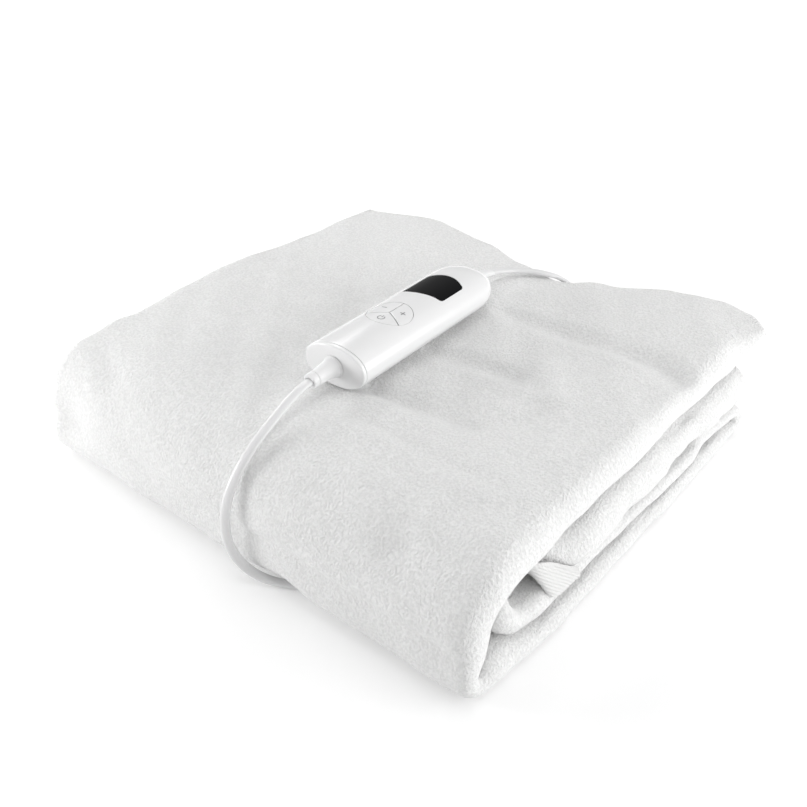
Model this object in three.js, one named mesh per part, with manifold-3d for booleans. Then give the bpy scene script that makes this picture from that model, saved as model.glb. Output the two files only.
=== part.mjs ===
// A heated mattress pad, folded up, with its hand control and its two leads.
// Millimetres, +Z up. The origin is on the surface that the pad rests on, under the middle of the bundle.
// The fold over the front faces -Y, the folded rims face +X and the open edges face -X.

import * as THREE from 'three';
import Module from 'manifold-3d';
import { mergeVertices } from 'three/addons/utils/BufferGeometryUtils.js';

const wasm = await Module();
wasm.setup();

const DEGREE = Math.PI / 180;
const GAP = 0.3;
const MERGE_DISTANCE = 1e-4;

// The pad: one fleece sheet, doubled lengthwise with its rim at +X, then folded back and forth.
const SHEET = 4;
const PAD_HEIGHT = 79;
const TOP_COLUMNS = 15;
const RIM_STEPS = 7;
const UNDER_COLUMNS = 5;
const HEM_STAGGER = 6;
const HEM_REACH = 95;
const PLY_CLEARANCE = 0.6;
const OUTER_PLY = 90 * DEGREE;
const INNER_PLY = -90 * DEGREE;

// A row for each place where the doubled sheet changes, in order from the hem on top to the hem inside:
// the middle of the doubled sheet, how thick it lies, how far out its folded rim and its open edges
// reach, then how it goes on to the next row and in how many steps.
const FOLDS = [
  { at: 'top hem', y: 150, z: 73, loft: 9.6, rimX: 179, openX: -170, steps: 4, goes: 'straight' },
  { at: 'top, behind', y: 112, z: 67.4, loft: 23.2, rimX: 174, openX: -169, steps: 6, goes: 'straight' },
  { at: 'top, middle', y: 50, z: 67.4, loft: 23.2, rimX: 175, openX: -168, steps: 9, goes: 'straight' },
  { at: 'top, before middle', y: -60, z: 66.8, loft: 24.4, rimX: 175, openX: -172, steps: 6, goes: 'straight' },
  { at: 'top, at the nose', y: -128, z: 64.8, loft: 28.4, rimX: 176.5, openX: -171, steps: 7, goes: 'leaves level' },
  { at: 'nose', y: -162, z: 34, loft: 29, rimX: 176.5, openX: -170, steps: 3, goes: 'falls' },
  { at: 'nose, low', y: -171, z: 15.6, loft: 12.6, rimX: 177.5, openX: -170, steps: 4, goes: 'arrives level' },
  { at: 'bottom, at nose', y: -161.5, z: 6.3, loft: 12.6, rimX: 179, openX: -170, steps: 2, goes: 'straight' },
  { at: 'bottom, plumped up', y: -150, z: 9.5, loft: 19, rimX: 181, openX: -170, steps: 3, goes: 'straight' },
  { at: 'bottom, in front', y: -118, z: 6.3, loft: 12.6, rimX: 182.7, openX: -169, steps: 4, goes: 'straight' },
  { at: 'bottom, middle', y: -20, z: 5.8, loft: 11.6, rimX: 181, openX: -169, steps: 4, goes: 'straight' },
  { at: 'bottom, behind', y: 136.4, z: 5.3, loft: 10.6, rimX: 177.5, openX: -169, steps: 3, goes: 'leaves level' },
  { at: 'back fold', y: 143, z: 12, loft: 9.2, rimX: 177, openX: -168, steps: 3, goes: 'arrives level' },
  { at: 'third, behind', y: 136.4, z: 18.5, loft: 10, rimX: 176, openX: -167, steps: 3, goes: 'straight' },
  { at: 'third, crumpled in', y: 94, z: 18.5, loft: 10, rimX: 173, openX: -168, steps: 2, goes: 'straight' },
  { at: 'third, crumpled out', y: 70, z: 18.5, loft: 10, rimX: 177.5, openX: -168, steps: 4, goes: 'straight' },
  { at: 'third, by the hollow', y: -60, z: 18.5, loft: 10, rimX: 175.5, openX: -168, steps: 4, goes: 'straight' },
  { at: 'third, in front', y: -118, z: 21.6, loft: 15.8, rimX: 177, openX: -170, steps: 5, goes: 'leaves level' },
  { at: 'inner fold', y: -137.9, z: 35.4, loft: 17, rimX: 176.5, openX: -168, steps: 5, goes: 'arrives level' },
  { at: 'second, in front', y: -118, z: 45.7, loft: 9, rimX: 158, openX: -168, steps: 6, goes: 'straight' },
  { at: 'second, by the hollow', y: -66, z: 37.6, loft: 26.8, rimX: 181.5, openX: -169, steps: 3, goes: 'straight' },
  { at: 'second, middle', y: -10, z: 38.6, loft: 28, rimX: 179, openX: -169, steps: 6, goes: 'straight' },
  { at: 'second, behind', y: 120, z: 38.5, loft: 27, rimX: 179, openX: -168, steps: 3, goes: 'straight' },
  { at: 'second hem', y: 146, z: 37, loft: 22, rimX: 174, openX: -168, steps: 0, goes: 'ends' },
];

// How far back the hem on top reaches, from the open edges to the folded rim.
const TOP_HEM = [
  { x: -170, y: 146 },
  { x: -112, y: 159 },
  { x: -54, y: 152 },
  { x: -7, y: 139 },
  { x: 26, y: 134.5 },
  { x: 62, y: 148 },
  { x: 106, y: 168 },
  { x: 140, y: 174 },
  { x: 160, y: 169 },
  { x: 183, y: 152 },
];

// Lines that the heating wires draw on the top: a trough has a positive depth, a ridge a negative one.
const WIRE_LINES = [
  { depth: 3.6, halfWidth: 11, route: [[26, 54], [62, 60], [102, 67], [134, 71], [160, 60]] },
  { depth: 2.8, halfWidth: 12, route: [[24, -14], [72, -6]] },
  { depth: 3.4, halfWidth: 11, route: [[22, -64], [84, -55], [112, -40], [114, -24]] },
  { depth: -2.2, halfWidth: 12, route: [[90, 20], [112, -4]] },
  { depth: -2.0, halfWidth: 13, route: [[40, -112], [112, -94], [158, -98]] },
  { depth: 1.2, halfWidth: 12, route: [[-150, 48], [-40, 52]] },
  { depth: 1.2, halfWidth: 12, route: [[-150, -22], [-45, -18]] },
  { depth: 1.2, halfWidth: 12, route: [[-140, -82], [-40, -76]] },
];

// Dents pressed into the outside of the bundle, each about a point on it.
const DENTS = [
  { at: 'wrinkle over the front', x: 118, y: -156, z: 60, reach: 20, depth: 3.5 },
  { at: 'dimple by the left corner', x: -152, y: -172, z: 38, reach: 17, depth: 5 },
  { at: 'crumple in the second rim', x: 178, y: 62, z: 36, reach: 16, depth: 3 },
  { at: 'crease in the top rim', x: 172, y: 40, z: 64, reach: 24, depth: 1.6 },
];

// Places where the whole bundle stands a little higher or lower.
const SWELLS = [
  { x: -100, y: 142, reach: 46, height: 3 },
  { x: 132, y: 128, reach: 50, height: 4 },
  { x: -165, y: -110, reach: 40, height: -2.5 },
  { x: -165, y: 0, reach: 55, height: 4.6 },
  { x: 21, y: 140, reach: 20, height: -2.2 },
  { x: 0, y: -5, reach: 95, height: -2.6 },
  { x: 150, y: -110, reach: 50, height: -2 },
];

// Where the lead runs under the front edge it lifts the bundle, most of all its underside.
const LEAD_LIFT = { x: 48, y: -168, reach: 17, height: 6 };

// The ribbed corner strap: a row for each step along it, its lower and its upper edge.
const STRAP_THICKNESS = 1.4;
const STRAP_ROWS = [
  { low: [150, -84.4, 26.8], high: [148.5, -87.4, 28.2] },
  { low: [155.6, -88.2, 27.6], high: [152.4, -92.4, 30.2] },
  { low: [161.6, -92.8, 28.4], high: [157, -98.6, 33.4] },
  { low: [167, -97.5, 29], high: [161, -104.6, 36.6] },
  { low: [172, -101.6, 28.6], high: [164.8, -111, 46.4] },
  { low: [176.4, -101.4, 25], high: [167.4, -110.8, 48.6] },
  { low: [177.7, -97.5, 22.6], high: [169.6, -106.4, 47.6] },
  { low: [177.8, -90.5, 21.8], high: [171.6, -97.5, 43] },
  { low: [177.8, -82.4, 21.4], high: [174, -88, 36] },
  { low: [177.8, -74.4, 21.2], high: [177, -77, 28.3] },
];

// The hand control, in its own frame: X across, Y along towards the far end, Z up from its underside.
const CONTROL_MIDDLE = { x: -0.9, y: -5.1, z: 78 };
const CONTROL_TURN = 2.5 * DEGREE;
const CONTROL_LENGTH = 154;
const CONTROL_WIDTH = 47;
const CONTROL_HEIGHT = 28;
const SECTION_POWER = 2.2;
const SECTION_POINTS = 36;
const FAR_ROUNDING = 27;
const FAR_ROUNDING_STEPS = 7;
const FAR_TIP_SHARE = 0.97;
const SEAM_HEIGHT = 9.5;
const CAP_THICKNESS = 3;
const CAP_CHAMFER = 1.3;

const ABOVE_CONTROL = 33;
const BELOW_CONTROL = -1;

// The display window: its two sides, its near edge that slants from left to right, and its bowed far edge.
const WINDOW = { left: -13.8, right: 15.2, side: 39.5, far: 44, corner: 3, floor: 21.7 };
const WINDOW_NEAR = { left: 9, right: 13.5, leftRise: 0.4, leftHandle: 0.35, rightHandle: 0.25, rightDip: 0.6 };
const WINDOW_FAR_RISE = 0.9;
const WINDOW_CURVE_STEPS = 6;
const KEY_CENTRE_Y = -22;
const KEY_RADIUS = 15;
const KEY_CLEARANCE = 0.35;
const KEY_BOTTOM = 21.6;
const KEY_POCKET_FLOOR = 20.4;
const KEY_POCKET_STEPS = 36;
const KEY_ARC_STEPS = 10;
const KEY_HALF_ANGLE = 60 * DEGREE;
const KEYS = [
  { name: 'key_power', middle: 270 },
  { name: 'key_plus', middle: 30 },
  { name: 'key_minus', middle: 150 },
];

// The strain reliefs at the two ends of the control, a row for each change along them.
const RELIEF_SEGMENTS = 20;
const NEAR_RELIEF = [
  { along: 0, radius: 7.3 },
  { along: 0.96, radius: 7.3 },
  { along: 1.6, radius: 6.6 },
  { along: 8.75, radius: 5.5 },
  { along: 17.5, radius: 4.2 },
  { along: 17.9, radius: 4.6 },
  { along: 21.5, radius: 4.6 },
  { along: 22, radius: 4.1 },
];
const SLEEVE_SEGMENTS = 16;
const FAR_RELIEF = [
  { along: 0, width: 10, thickness: 6.2, drop: 0 },
  { along: 7, width: 8.7, thickness: 5.3, drop: 0.5 },
  { along: 14, width: 7.78, thickness: 4.66, drop: 1.9 },
  { along: 18.8, width: 7.43, thickness: 4.42, drop: 3.3 },
  { along: 20, width: 6.8, thickness: 3.8, drop: 3.7 },
];

// The leads are twin flat cord. A row is a place on the route, then the way that the wide side points.
const CORD_WIDTH = 6;
const CORD_THICKNESS = 3.2;
const CORD_FLAT_SHARE = { wide: 0.68, thick: 0.55 };
const LEAD_STEPS = 24;
const PAD_LEAD_ROUTE = [
  [3.45, -104.85, 92, 1, 0, 0],
  [4.3, -113, 91.2, 1, 0, 0],
  [5.6, -124, 88.8, 1, 0, 0],
  [7.2, -135, 85.6, 1, 0, 0],
  [8.6, -146, 81.8, 1, 0, 0],
  [9.2, -156, 76.6, 1, 0, 0],
  [9.2, -165, 69.6, 1, 0.1, 0],
  [9, -172.6, 61, 1, 0.2, 0],
  [8.8, -178.2, 51.5, 1, 0.3, 0],
  [9, -181.6, 41.6, 1, 0.4, 0],
  [10.2, -183.2, 31.6, 0.9, 0.5, 0],
  [13, -183.4, 22, 0.8, 0.6, 0],
  [17.6, -182.2, 14, 0.5, 0.8, 0],
  [23.8, -179.8, 8, 0.3, 1, 0],
  [31, -176.4, 4.2, 0.1, 1, 0],
  [38.6, -172.4, 2.4, 0, 1, 0],
  [45.2, -168.6, 2, 0, 1, 0],
  [51, -165, 2, 0, 1, 0],
];
const MAINS_LEAD_ROUTE = [
  [-5.2, 93.2, 88.3, 1, 0, 0],
  [-4.8, 101, 86.2, 1, 0, 0],
  [-2.9, 109, 84.4, 1, -0.2, 0],
  [0.8, 116.6, 83, 0.9, -0.4, 0],
  [6, 123, 81.7, 0.8, -0.55, 0],
  [11.7, 128.4, 80.6, 0.75, -0.6, 0],
  [17, 133.8, 79.2, 0.8, -0.55, 0],
  [21, 139.8, 76.8, 0.9, -0.35, 0],
  [23.8, 146, 72.6, 0.95, -0.2, 0],
  [25, 151.8, 66.6, 1, 0, 0],
  [25.2, 156.6, 59, 1, 0.1, 0],
  [23.8, 160.4, 50.6, 0.95, 0.2, 0],
  [20.4, 162.4, 42.2, 0.9, 0.4, 0],
  [15.2, 162.8, 34.4, 0.8, 0.6, 0.1],
  [8.6, 162.8, 27.8, 0.6, 0.7, 0.2],
  [1, 162.8, 22.4, 0.4, 0.7, 0.5],
  [-7, 162.8, 18, 0.2, 0.6, 0.7],
  [-14.8, 162.7, 14, 0, 0.2, 1],
  [-21.8, 162.7, 11.1, 0, 0, 1],
  [-28.4, 162.7, 9.4, 0, 0, 1],
];

// The unseen length of the mains lead, wound up behind the bundle, and the plug on its end.
const COIL_MIDDLE = { x: -46, y: 204 };
const COIL_RADIUS = 35;
const COIL_TURNS_ABREAST = 3.6;
const COIL_PITCH = 3.5;
const COIL_LAYERS = 2;
const COIL_LAYER_GAP = 0.2;
const COIL_SEGMENTS = 48;
const PLUG_TIP = { x: -67.4, y: 162.7, z: 6.6 };
const PLUG = { body: 36, shoulder: 22.3, curve: 10.8, width: 24, waist: 11, thickness: 13, bevel: 2 };
const PLUG_SLEEVE = { length: 20, sunk: 2, tipRadius: 3.7, rootRadius: 5, segments: 16 };
const PIN = { length: 19, radius: 2, spacing: 18.6, tipLength: 1.2, tipRadius: 1.2, segments: 14 };

const MATERIALS = {
  fleece: new THREE.MeshStandardMaterial({ color: 0xf3f3f2, roughness: 0.95 }),
  webbing: new THREE.MeshStandardMaterial({ color: 0xededeb, roughness: 0.8 }),
  glossWhite: new THREE.MeshStandardMaterial({ color: 0xf6f6f6, roughness: 0.22 }),
  window: new THREE.MeshStandardMaterial({ color: 0x101114, roughness: 0.08 }),
  softWhite: new THREE.MeshStandardMaterial({ color: 0xf0f0f0, roughness: 0.45 }),
  metal: new THREE.MeshStandardMaterial({ color: 0xc9cacb, roughness: 0.25, metalness: 1 }),
};

const smooth = (t) => t * t * (3 - 2 * t);
const mix = (a, b, t) => a + (b - a) * t;
const clamp01 = (t) => Math.min(1, Math.max(0, t));

// Merges shared points, drops triangles with no area and turns the faces outwards.
function closed(geometry) {
  const bare = new THREE.BufferGeometry();
  bare.setAttribute('position', geometry.getAttribute('position').clone());
  if (geometry.index) bare.setIndex(geometry.index.clone());
  const merged = mergeVertices(bare, MERGE_DISTANCE);
  const corners = merged.index.array;
  const place = merged.getAttribute('position');
  const [a, b, c] = [new THREE.Vector3(), new THREE.Vector3(), new THREE.Vector3()];
  const kept = [];
  let volume = 0;
  for (let i = 0; i < corners.length; i += 3) {
    const [p, q, r] = [corners[i], corners[i + 1], corners[i + 2]];
    if (p === q || q === r || r === p) continue;
    a.fromBufferAttribute(place, p);
    b.fromBufferAttribute(place, q);
    c.fromBufferAttribute(place, r);
    volume += a.dot(b.cross(c));
    kept.push(p, q, r);
  }
  if (volume < 0) {
    for (let i = 0; i < kept.length; i += 3) [kept[i], kept[i + 1]] = [kept[i + 1], kept[i]];
  }
  merged.setIndex(kept);
  merged.computeVertexNormals();
  return merged;
}

function solidOf(geometry) {
  const tidy = closed(geometry);
  const mesh = new wasm.Mesh({
    numProp: 3,
    vertProperties: new Float32Array(tidy.getAttribute('position').array),
    triVerts: new Uint32Array(tidy.index.array),
  });
  return new wasm.Manifold(mesh);
}

function geometryOf(solid) {
  const mesh = solid.getMesh();
  const geometry = new THREE.BufferGeometry();
  geometry.setAttribute('position', new THREE.BufferAttribute(mesh.vertProperties, 3));
  geometry.setIndex(new THREE.BufferAttribute(mesh.triVerts, 1));
  return closed(geometry);
}

function piece(name, geometry, material) {
  const mesh = new THREE.Mesh(closed(geometry), material);
  mesh.name = name;
  return mesh;
}

// A slab between two grids of points with the same rows and columns, closed along its four edges.
function slab(front, back) {
  const rows = front.length;
  const columns = front[0].length;
  const points = [...front.flat(), ...back.flat()];
  const half = rows * columns;
  const corners = [];
  const quad = (p, q, r, s) => corners.push(p, q, r, p, r, s);
  for (let row = 0; row < rows - 1; row++) {
    for (let column = 0; column < columns - 1; column++) {
      const p = row * columns + column;
      quad(p, p + columns, p + columns + 1, p + 1);
      quad(half + p, half + p + 1, half + p + columns + 1, half + p + columns);
    }
    const last = row * columns + columns - 1;
    quad(row * columns, half + row * columns, half + (row + 1) * columns, (row + 1) * columns);
    quad(last, last + columns, half + last + columns, half + last);
  }
  for (let column = 0; column < columns - 1; column++) {
    const end = (rows - 1) * columns + column;
    quad(column, column + 1, half + column + 1, half + column);
    quad(end, half + end, half + end + 1, end + 1);
  }
  const geometry = new THREE.BufferGeometry();
  geometry.setAttribute('position', new THREE.Float32BufferAttribute(points.flat(), 3));
  geometry.setIndex(corners);
  return geometry;
}

// A solid through loops of points that all have the same count, with flat ends.
function loft(loops) {
  const count = loops[0].length;
  const points = loops.flat();
  const corners = [];
  for (let row = 0; row < loops.length - 1; row++) {
    for (let i = 0; i < count; i++) {
      const p = row * count + i;
      const q = row * count + ((i + 1) % count);
      corners.push(p, q, q + count, p, q + count, p + count);
    }
  }
  const centre = (loop) => [0, 1, 2].map((axis) => loop.reduce((sum, p) => sum + p[axis], 0) / count);
  const first = points.length;
  const last = first + 1;
  points.push(centre(loops[0]), centre(loops.at(-1)));
  const end = (loops.length - 1) * count;
  for (let i = 0; i < count; i++) {
    const next = (i + 1) % count;
    corners.push(first, next, i, last, end + i, end + next);
  }
  const geometry = new THREE.BufferGeometry();
  geometry.setAttribute('position', new THREE.Float32BufferAttribute(points.flat(), 3));
  geometry.setIndex(corners);
  return geometry;
}

// One step between two rows of FOLDS. A quarter turn is a quarter of an ellipse.
function stationBetween(from, to, t) {
  const angle = (t * Math.PI) / 2;
  const shares = {
    straight: [t, smooth(t)],
    'leaves level': [Math.sin(angle), 1 - Math.cos(angle)],
    'arrives level': [1 - Math.cos(angle), Math.sin(angle)],
    falls: [smooth(t), t],
  }[from.goes];
  return {
    y: mix(from.y, to.y, shares[0]),
    z: mix(from.z, to.z, shares[1]),
    loft: mix(from.loft, to.loft, smooth(t)),
    rimX: mix(from.rimX, to.rimX, smooth(t)),
    openX: mix(from.openX, to.openX, smooth(t)),
  };
}

// The places along the folded length, each with the direction that its outer side faces.
function padStations() {
  const stations = [];
  for (let i = 0; i < FOLDS.length - 1; i++) {
    for (let step = 0; step < FOLDS[i].steps; step++) {
      stations.push(stationBetween(FOLDS[i], FOLDS[i + 1], step / FOLDS[i].steps));
    }
  }
  stations.push(stationBetween(FOLDS.at(-2), FOLDS.at(-1), 1));
  stations.forEach((station, i) => {
    const before = stations[Math.max(0, i - 1)];
    const after = stations[Math.min(stations.length - 1, i + 1)];
    const length = Math.hypot(after.y - before.y, after.z - before.z);
    station.facingY = (after.z - before.z) / length;
    station.facingZ = (before.y - after.y) / length;
    station.fromHem = i === 0 ? 0 : stations[i - 1].fromHem + Math.hypot(
      station.y - stations[i - 1].y,
      station.z - stations[i - 1].z,
    );
  });
  return stations;
}

// The columns across the sheet: over the outer ply, round the rim and back over the inner ply.
function padColumns() {
  const columns = [];
  for (let i = 0; i < TOP_COLUMNS; i++) columns.push({ across: i / TOP_COLUMNS, angle: OUTER_PLY, stagger: 0 });
  for (let i = 0; i <= RIM_STEPS; i++) {
    columns.push({ across: 1, angle: mix(OUTER_PLY, INNER_PLY, i / RIM_STEPS), stagger: 0 });
  }
  for (let i = UNDER_COLUMNS - 1; i >= 0; i--) {
    const across = i / UNDER_COLUMNS;
    columns.push({ across, angle: INNER_PLY, stagger: HEM_STAGGER * (1 - across) });
  }
  return columns;
}

function alongTable(table, x) {
  const after = table.findIndex((row) => row.x >= x);
  if (after === 0) return table[0].y;
  if (after < 0) return table.at(-1).y;
  const [low, high] = [table[after - 1], table[after]];
  return mix(low.y, high.y, smooth((x - low.x) / (high.x - low.x)));
}

function distanceToRoute(x, y, route) {
  let nearest = Infinity;
  for (let i = 0; i < route.length - 1; i++) {
    const [[ax, ay], [bx, by]] = [route[i], route[i + 1]];
    const [dx, dy] = [bx - ax, by - ay];
    const share = clamp01(((x - ax) * dx + (y - ay) * dy) / (dx * dx + dy * dy));
    nearest = Math.min(nearest, Math.hypot(x - ax - share * dx, y - ay - share * dy));
  }
  return nearest;
}

// How far the outside is pressed in at a point: wire lines on the top, and the dents.
function pressedIn(x, y, z, facingUp) {
  const onTop = z > PAD_HEIGHT / 2 ? clamp01(facingUp) : 0;
  const wires = WIRE_LINES.reduce((sum, line) => {
    const away = distanceToRoute(x, y, line.route) / line.halfWidth;
    return sum + line.depth * Math.exp(-away * away);
  }, 0);
  const dents = DENTS.reduce((sum, dent) => {
    const away = Math.hypot(x - dent.x, y - dent.y, z - dent.z) / dent.reach;
    return sum + dent.depth * Math.exp(-away * away);
  }, 0);
  return onTop * wires + dents;
}

function swollen(x, y, z) {
  const height = SWELLS.reduce((sum, swell) => {
    const away = Math.hypot(x - swell.x, y - swell.y) / swell.reach;
    return sum + swell.height * Math.exp(-away * away);
  }, 0);
  const fromLead = Math.hypot(x - LEAD_LIFT.x, y - LEAD_LIFT.y) / LEAD_LIFT.reach;
  const lift = LEAD_LIFT.height * Math.exp(-fromLead * fromLead);
  return z * (1 + height / PAD_HEIGHT) + lift * (1 - z / PAD_HEIGHT);
}

function padPoints(station, column) {
  const radius = station.loft / 2;
  const [cos, sin] = [Math.cos(column.angle), Math.sin(column.angle)];
  const flat = station.rimX - radius - station.openX;
  const x = station.openX + column.stagger + (flat - column.stagger) * column.across + radius * cos;
  const hemShare = 1 - smooth(clamp01(station.fromHem / HEM_REACH));
  const y = station.y + station.facingY * radius * sin + hemShare * (alongTable(TOP_HEM, x) - FOLDS[0].y);
  const z = station.z + station.facingZ * radius * sin;
  const facing = [cos, station.facingY * sin, station.facingZ * sin];
  const room = radius - SHEET - PLY_CLEARANCE;
  const pressed = column.angle > INNER_PLY ? Math.min(room, pressedIn(x, y, z, facing[2])) : 0;
  return [pressed, pressed + SHEET].map((depth) => {
    const [px, py, pz] = [x - facing[0] * depth, y - facing[1] * depth, z - facing[2] * depth];
    return [px, py, swollen(px, py, pz)];
  });
}

function makePad() {
  const stations = padStations();
  const columns = padColumns();
  const grid = stations.map((station) => columns.map((column) => padPoints(station, column)));
  const front = grid.map((row) => row.map((pair) => pair[0]));
  const back = grid.map((row) => row.map((pair) => pair[1]));
  return piece('pad', slab(front, back), MATERIALS.fleece);
}

// The strap is a band between its two edges, thickened along the way that the band faces.
function makeStrap() {
  const rows = STRAP_ROWS.map((row, i) => {
    const before = STRAP_ROWS[Math.max(0, i - 1)];
    const after = STRAP_ROWS[Math.min(STRAP_ROWS.length - 1, i + 1)];
    const low = new THREE.Vector3(...row.low);
    const high = new THREE.Vector3(...row.high);
    const along = new THREE.Vector3(...after.low).sub(new THREE.Vector3(...before.low));
    const facing = along.cross(high.clone().sub(low)).normalize().multiplyScalar(STRAP_THICKNESS);
    return [low, low.clone().lerp(high, 0.5), high].map((p) => [p.toArray(), p.clone().add(facing).toArray()]);
  });
  const front = rows.map((row) => row.map((pair) => pair[0]));
  const back = rows.map((row) => row.map((pair) => pair[1]));
  return piece('corner_strap', slab(front, back), MATERIALS.webbing);
}

// The control's section is an ellipse with slightly full corners, shrunk towards the far end.
function caseLoop(along, share, inset = 0) {
  const halfWidth = (CONTROL_WIDTH / 2) * share - inset;
  const halfHeight = (CONTROL_HEIGHT / 2) * share - inset;
  const loop = [];
  for (let i = 0; i < SECTION_POINTS; i++) {
    const angle = (i / SECTION_POINTS) * 2 * Math.PI;
    const power = 2 / SECTION_POWER;
    const x = Math.sign(Math.cos(angle)) * Math.abs(Math.cos(angle)) ** power;
    const z = Math.sign(Math.sin(angle)) * Math.abs(Math.sin(angle)) ** power;
    loop.push([halfWidth * x, along, CONTROL_HEIGHT / 2 + halfHeight * z]);
  }
  return loop;
}

function caseSolid() {
  const nearEnd = -CONTROL_LENGTH / 2 + CAP_THICKNESS + GAP;
  const roundingStart = CONTROL_LENGTH / 2 - FAR_ROUNDING;
  const loops = [caseLoop(nearEnd, 1), caseLoop(roundingStart, 1)];
  for (let i = 1; i <= FAR_ROUNDING_STEPS; i++) {
    const into = FAR_TIP_SHARE * Math.sin((i / FAR_ROUNDING_STEPS) * 90 * DEGREE);
    const share = (1 - into ** SECTION_POWER) ** (1 / SECTION_POWER);
    loops.push(caseLoop(roundingStart + (FAR_ROUNDING * into) / FAR_TIP_SHARE, share));
  }
  return solidOf(loft(loops));
}

function prism(shape, low, high, curveSegments) {
  const geometry = new THREE.ExtrudeGeometry(shape, { depth: high - low, bevelEnabled: false, curveSegments });
  geometry.translate(0, 0, low);
  return solidOf(geometry);
}

function block(low, high) {
  const geometry = new THREE.BoxGeometry(...high.map((value, i) => value - low[i]));
  geometry.translate(...high.map((value, i) => (value + low[i]) / 2));
  return solidOf(geometry);
}

// The window seen from above: a slanting near edge, two straight sides and a bowed far edge.
function windowShape(inset) {
  const [left, right] = [WINDOW.left + inset, WINDOW.right - inset];
  const nearLeft = WINDOW_NEAR.left + inset;
  const nearRight = WINDOW_NEAR.right + inset;
  const side = WINDOW.side - inset;
  const far = side + WINDOW_FAR_RISE;
  const bow = 2 * (WINDOW.far - inset) - far;
  const r = WINDOW.corner;
  const { leftRise, leftHandle, rightHandle, rightDip } = WINDOW_NEAR;
  const handles = [left * leftHandle, nearLeft, right * rightHandle, nearRight - rightDip];
  const shape = new THREE.Shape();
  shape.moveTo(left, nearLeft + leftRise);
  shape.bezierCurveTo(...handles, right - r, nearRight);
  shape.quadraticCurveTo(right, nearRight, right, nearRight + r);
  shape.lineTo(right, side - r);
  shape.quadraticCurveTo(right, side, right - r, far);
  shape.quadraticCurveTo((left + right) / 2, bow, left + r, far);
  shape.quadraticCurveTo(left, side, left, side - r);
  shape.closePath();
  return shape;
}

// A third of a disc, its straight sides drawn back by the clearance.
function keyShape(middle) {
  const back = Math.asin(KEY_CLEARANCE / KEY_RADIUS);
  const start = middle * DEGREE - KEY_HALF_ANGLE + back;
  const end = middle * DEGREE + KEY_HALF_ANGLE - back;
  const apex = KEY_CLEARANCE / Math.sin(KEY_HALF_ANGLE);
  const points = [[apex * Math.cos(middle * DEGREE), KEY_CENTRE_Y + apex * Math.sin(middle * DEGREE)]];
  for (let i = 0; i <= KEY_ARC_STEPS; i++) {
    const angle = mix(start, end, i / KEY_ARC_STEPS);
    points.push([KEY_RADIUS * Math.cos(angle), KEY_CENTRE_Y + KEY_RADIUS * Math.sin(angle)]);
  }
  return new THREE.Shape(points.map(([x, y]) => new THREE.Vector2(x, y)));
}

function discShape(radius) {
  const shape = new THREE.Shape();
  shape.absarc(0, KEY_CENTRE_Y, radius, 0, 2 * Math.PI, false);
  return shape;
}

function makeControl() {
  const body = caseSolid();
  const reach = CONTROL_LENGTH;
  const above = block([-reach, -reach, SEAM_HEIGHT + GAP / 2], [reach, reach, ABOVE_CONTROL]);
  const below = block([-reach, -reach, BELOW_CONTROL], [reach, reach, SEAM_HEIGHT - GAP / 2]);
  const windowPocket = prism(windowShape(0), WINDOW.floor, ABOVE_CONTROL, WINDOW_CURVE_STEPS);
  const disc = discShape(KEY_RADIUS + KEY_CLEARANCE);
  const keyPocket = prism(disc, KEY_POCKET_FLOOR, ABOVE_CONTROL, KEY_POCKET_STEPS);
  const top = body.intersect(above).subtract(windowPocket).subtract(keyPocket);
  const pane = body.intersect(prism(windowShape(GAP), WINDOW.floor + GAP, ABOVE_CONTROL, WINDOW_CURVE_STEPS));
  const group = new THREE.Group();
  group.add(piece('control_top', geometryOf(top), MATERIALS.glossWhite));
  group.add(piece('control_base', geometryOf(body.intersect(below)), MATERIALS.glossWhite));
  group.add(piece('display_window', geometryOf(pane), MATERIALS.window));
  for (const key of KEYS) {
    const solid = body.intersect(prism(keyShape(key.middle), KEY_BOTTOM, ABOVE_CONTROL, KEY_ARC_STEPS));
    group.add(piece(key.name, geometryOf(solid), MATERIALS.glossWhite));
  }
  group.add(makeNearCap(), makeNearRelief(), makeFarRelief());
  group.position.set(CONTROL_MIDDLE.x, CONTROL_MIDDLE.y, CONTROL_MIDDLE.z);
  group.rotation.z = CONTROL_TURN;
  return group;
}

function makeNearCap() {
  const face = -CONTROL_LENGTH / 2;
  const loops = [
    caseLoop(face, 1, CAP_CHAMFER),
    caseLoop(face + CAP_CHAMFER, 1),
    caseLoop(face + CAP_THICKNESS, 1),
  ];
  return piece('near_cap', loft(loops), MATERIALS.glossWhite);
}

// A turned cone with a flange at its root and a straight collar at its tip, pointing along -Y.
function makeNearRelief() {
  const profile = NEAR_RELIEF.map(({ along, radius }) => new THREE.Vector2(radius, -along));
  const closedProfile = [new THREE.Vector2(0, 0), ...profile, new THREE.Vector2(0, -NEAR_RELIEF.at(-1).along)];
  const geometry = new THREE.LatheGeometry(closedProfile, RELIEF_SEGMENTS);
  geometry.translate(0, -CONTROL_LENGTH / 2 - GAP, CONTROL_HEIGHT / 2);
  return piece('near_relief', geometry, MATERIALS.softWhite);
}

// A flat tapered sleeve, pointing along +Y, that bends down under the lead's weight.
function makeFarRelief() {
  const start = CONTROL_LENGTH / 2 + GAP;
  const loops = FAR_RELIEF.map(({ along, width, thickness, drop }) =>
    Array.from({ length: SLEEVE_SEGMENTS }, (_, i) => {
      const angle = (i / SLEEVE_SEGMENTS) * 2 * Math.PI;
      const up = (thickness / 2) * Math.sin(angle) - drop;
      return [(width / 2) * Math.cos(angle), start + along, CONTROL_HEIGHT / 2 + up];
    }));
  return piece('far_relief', loft(loops), MATERIALS.softWhite);
}

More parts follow.
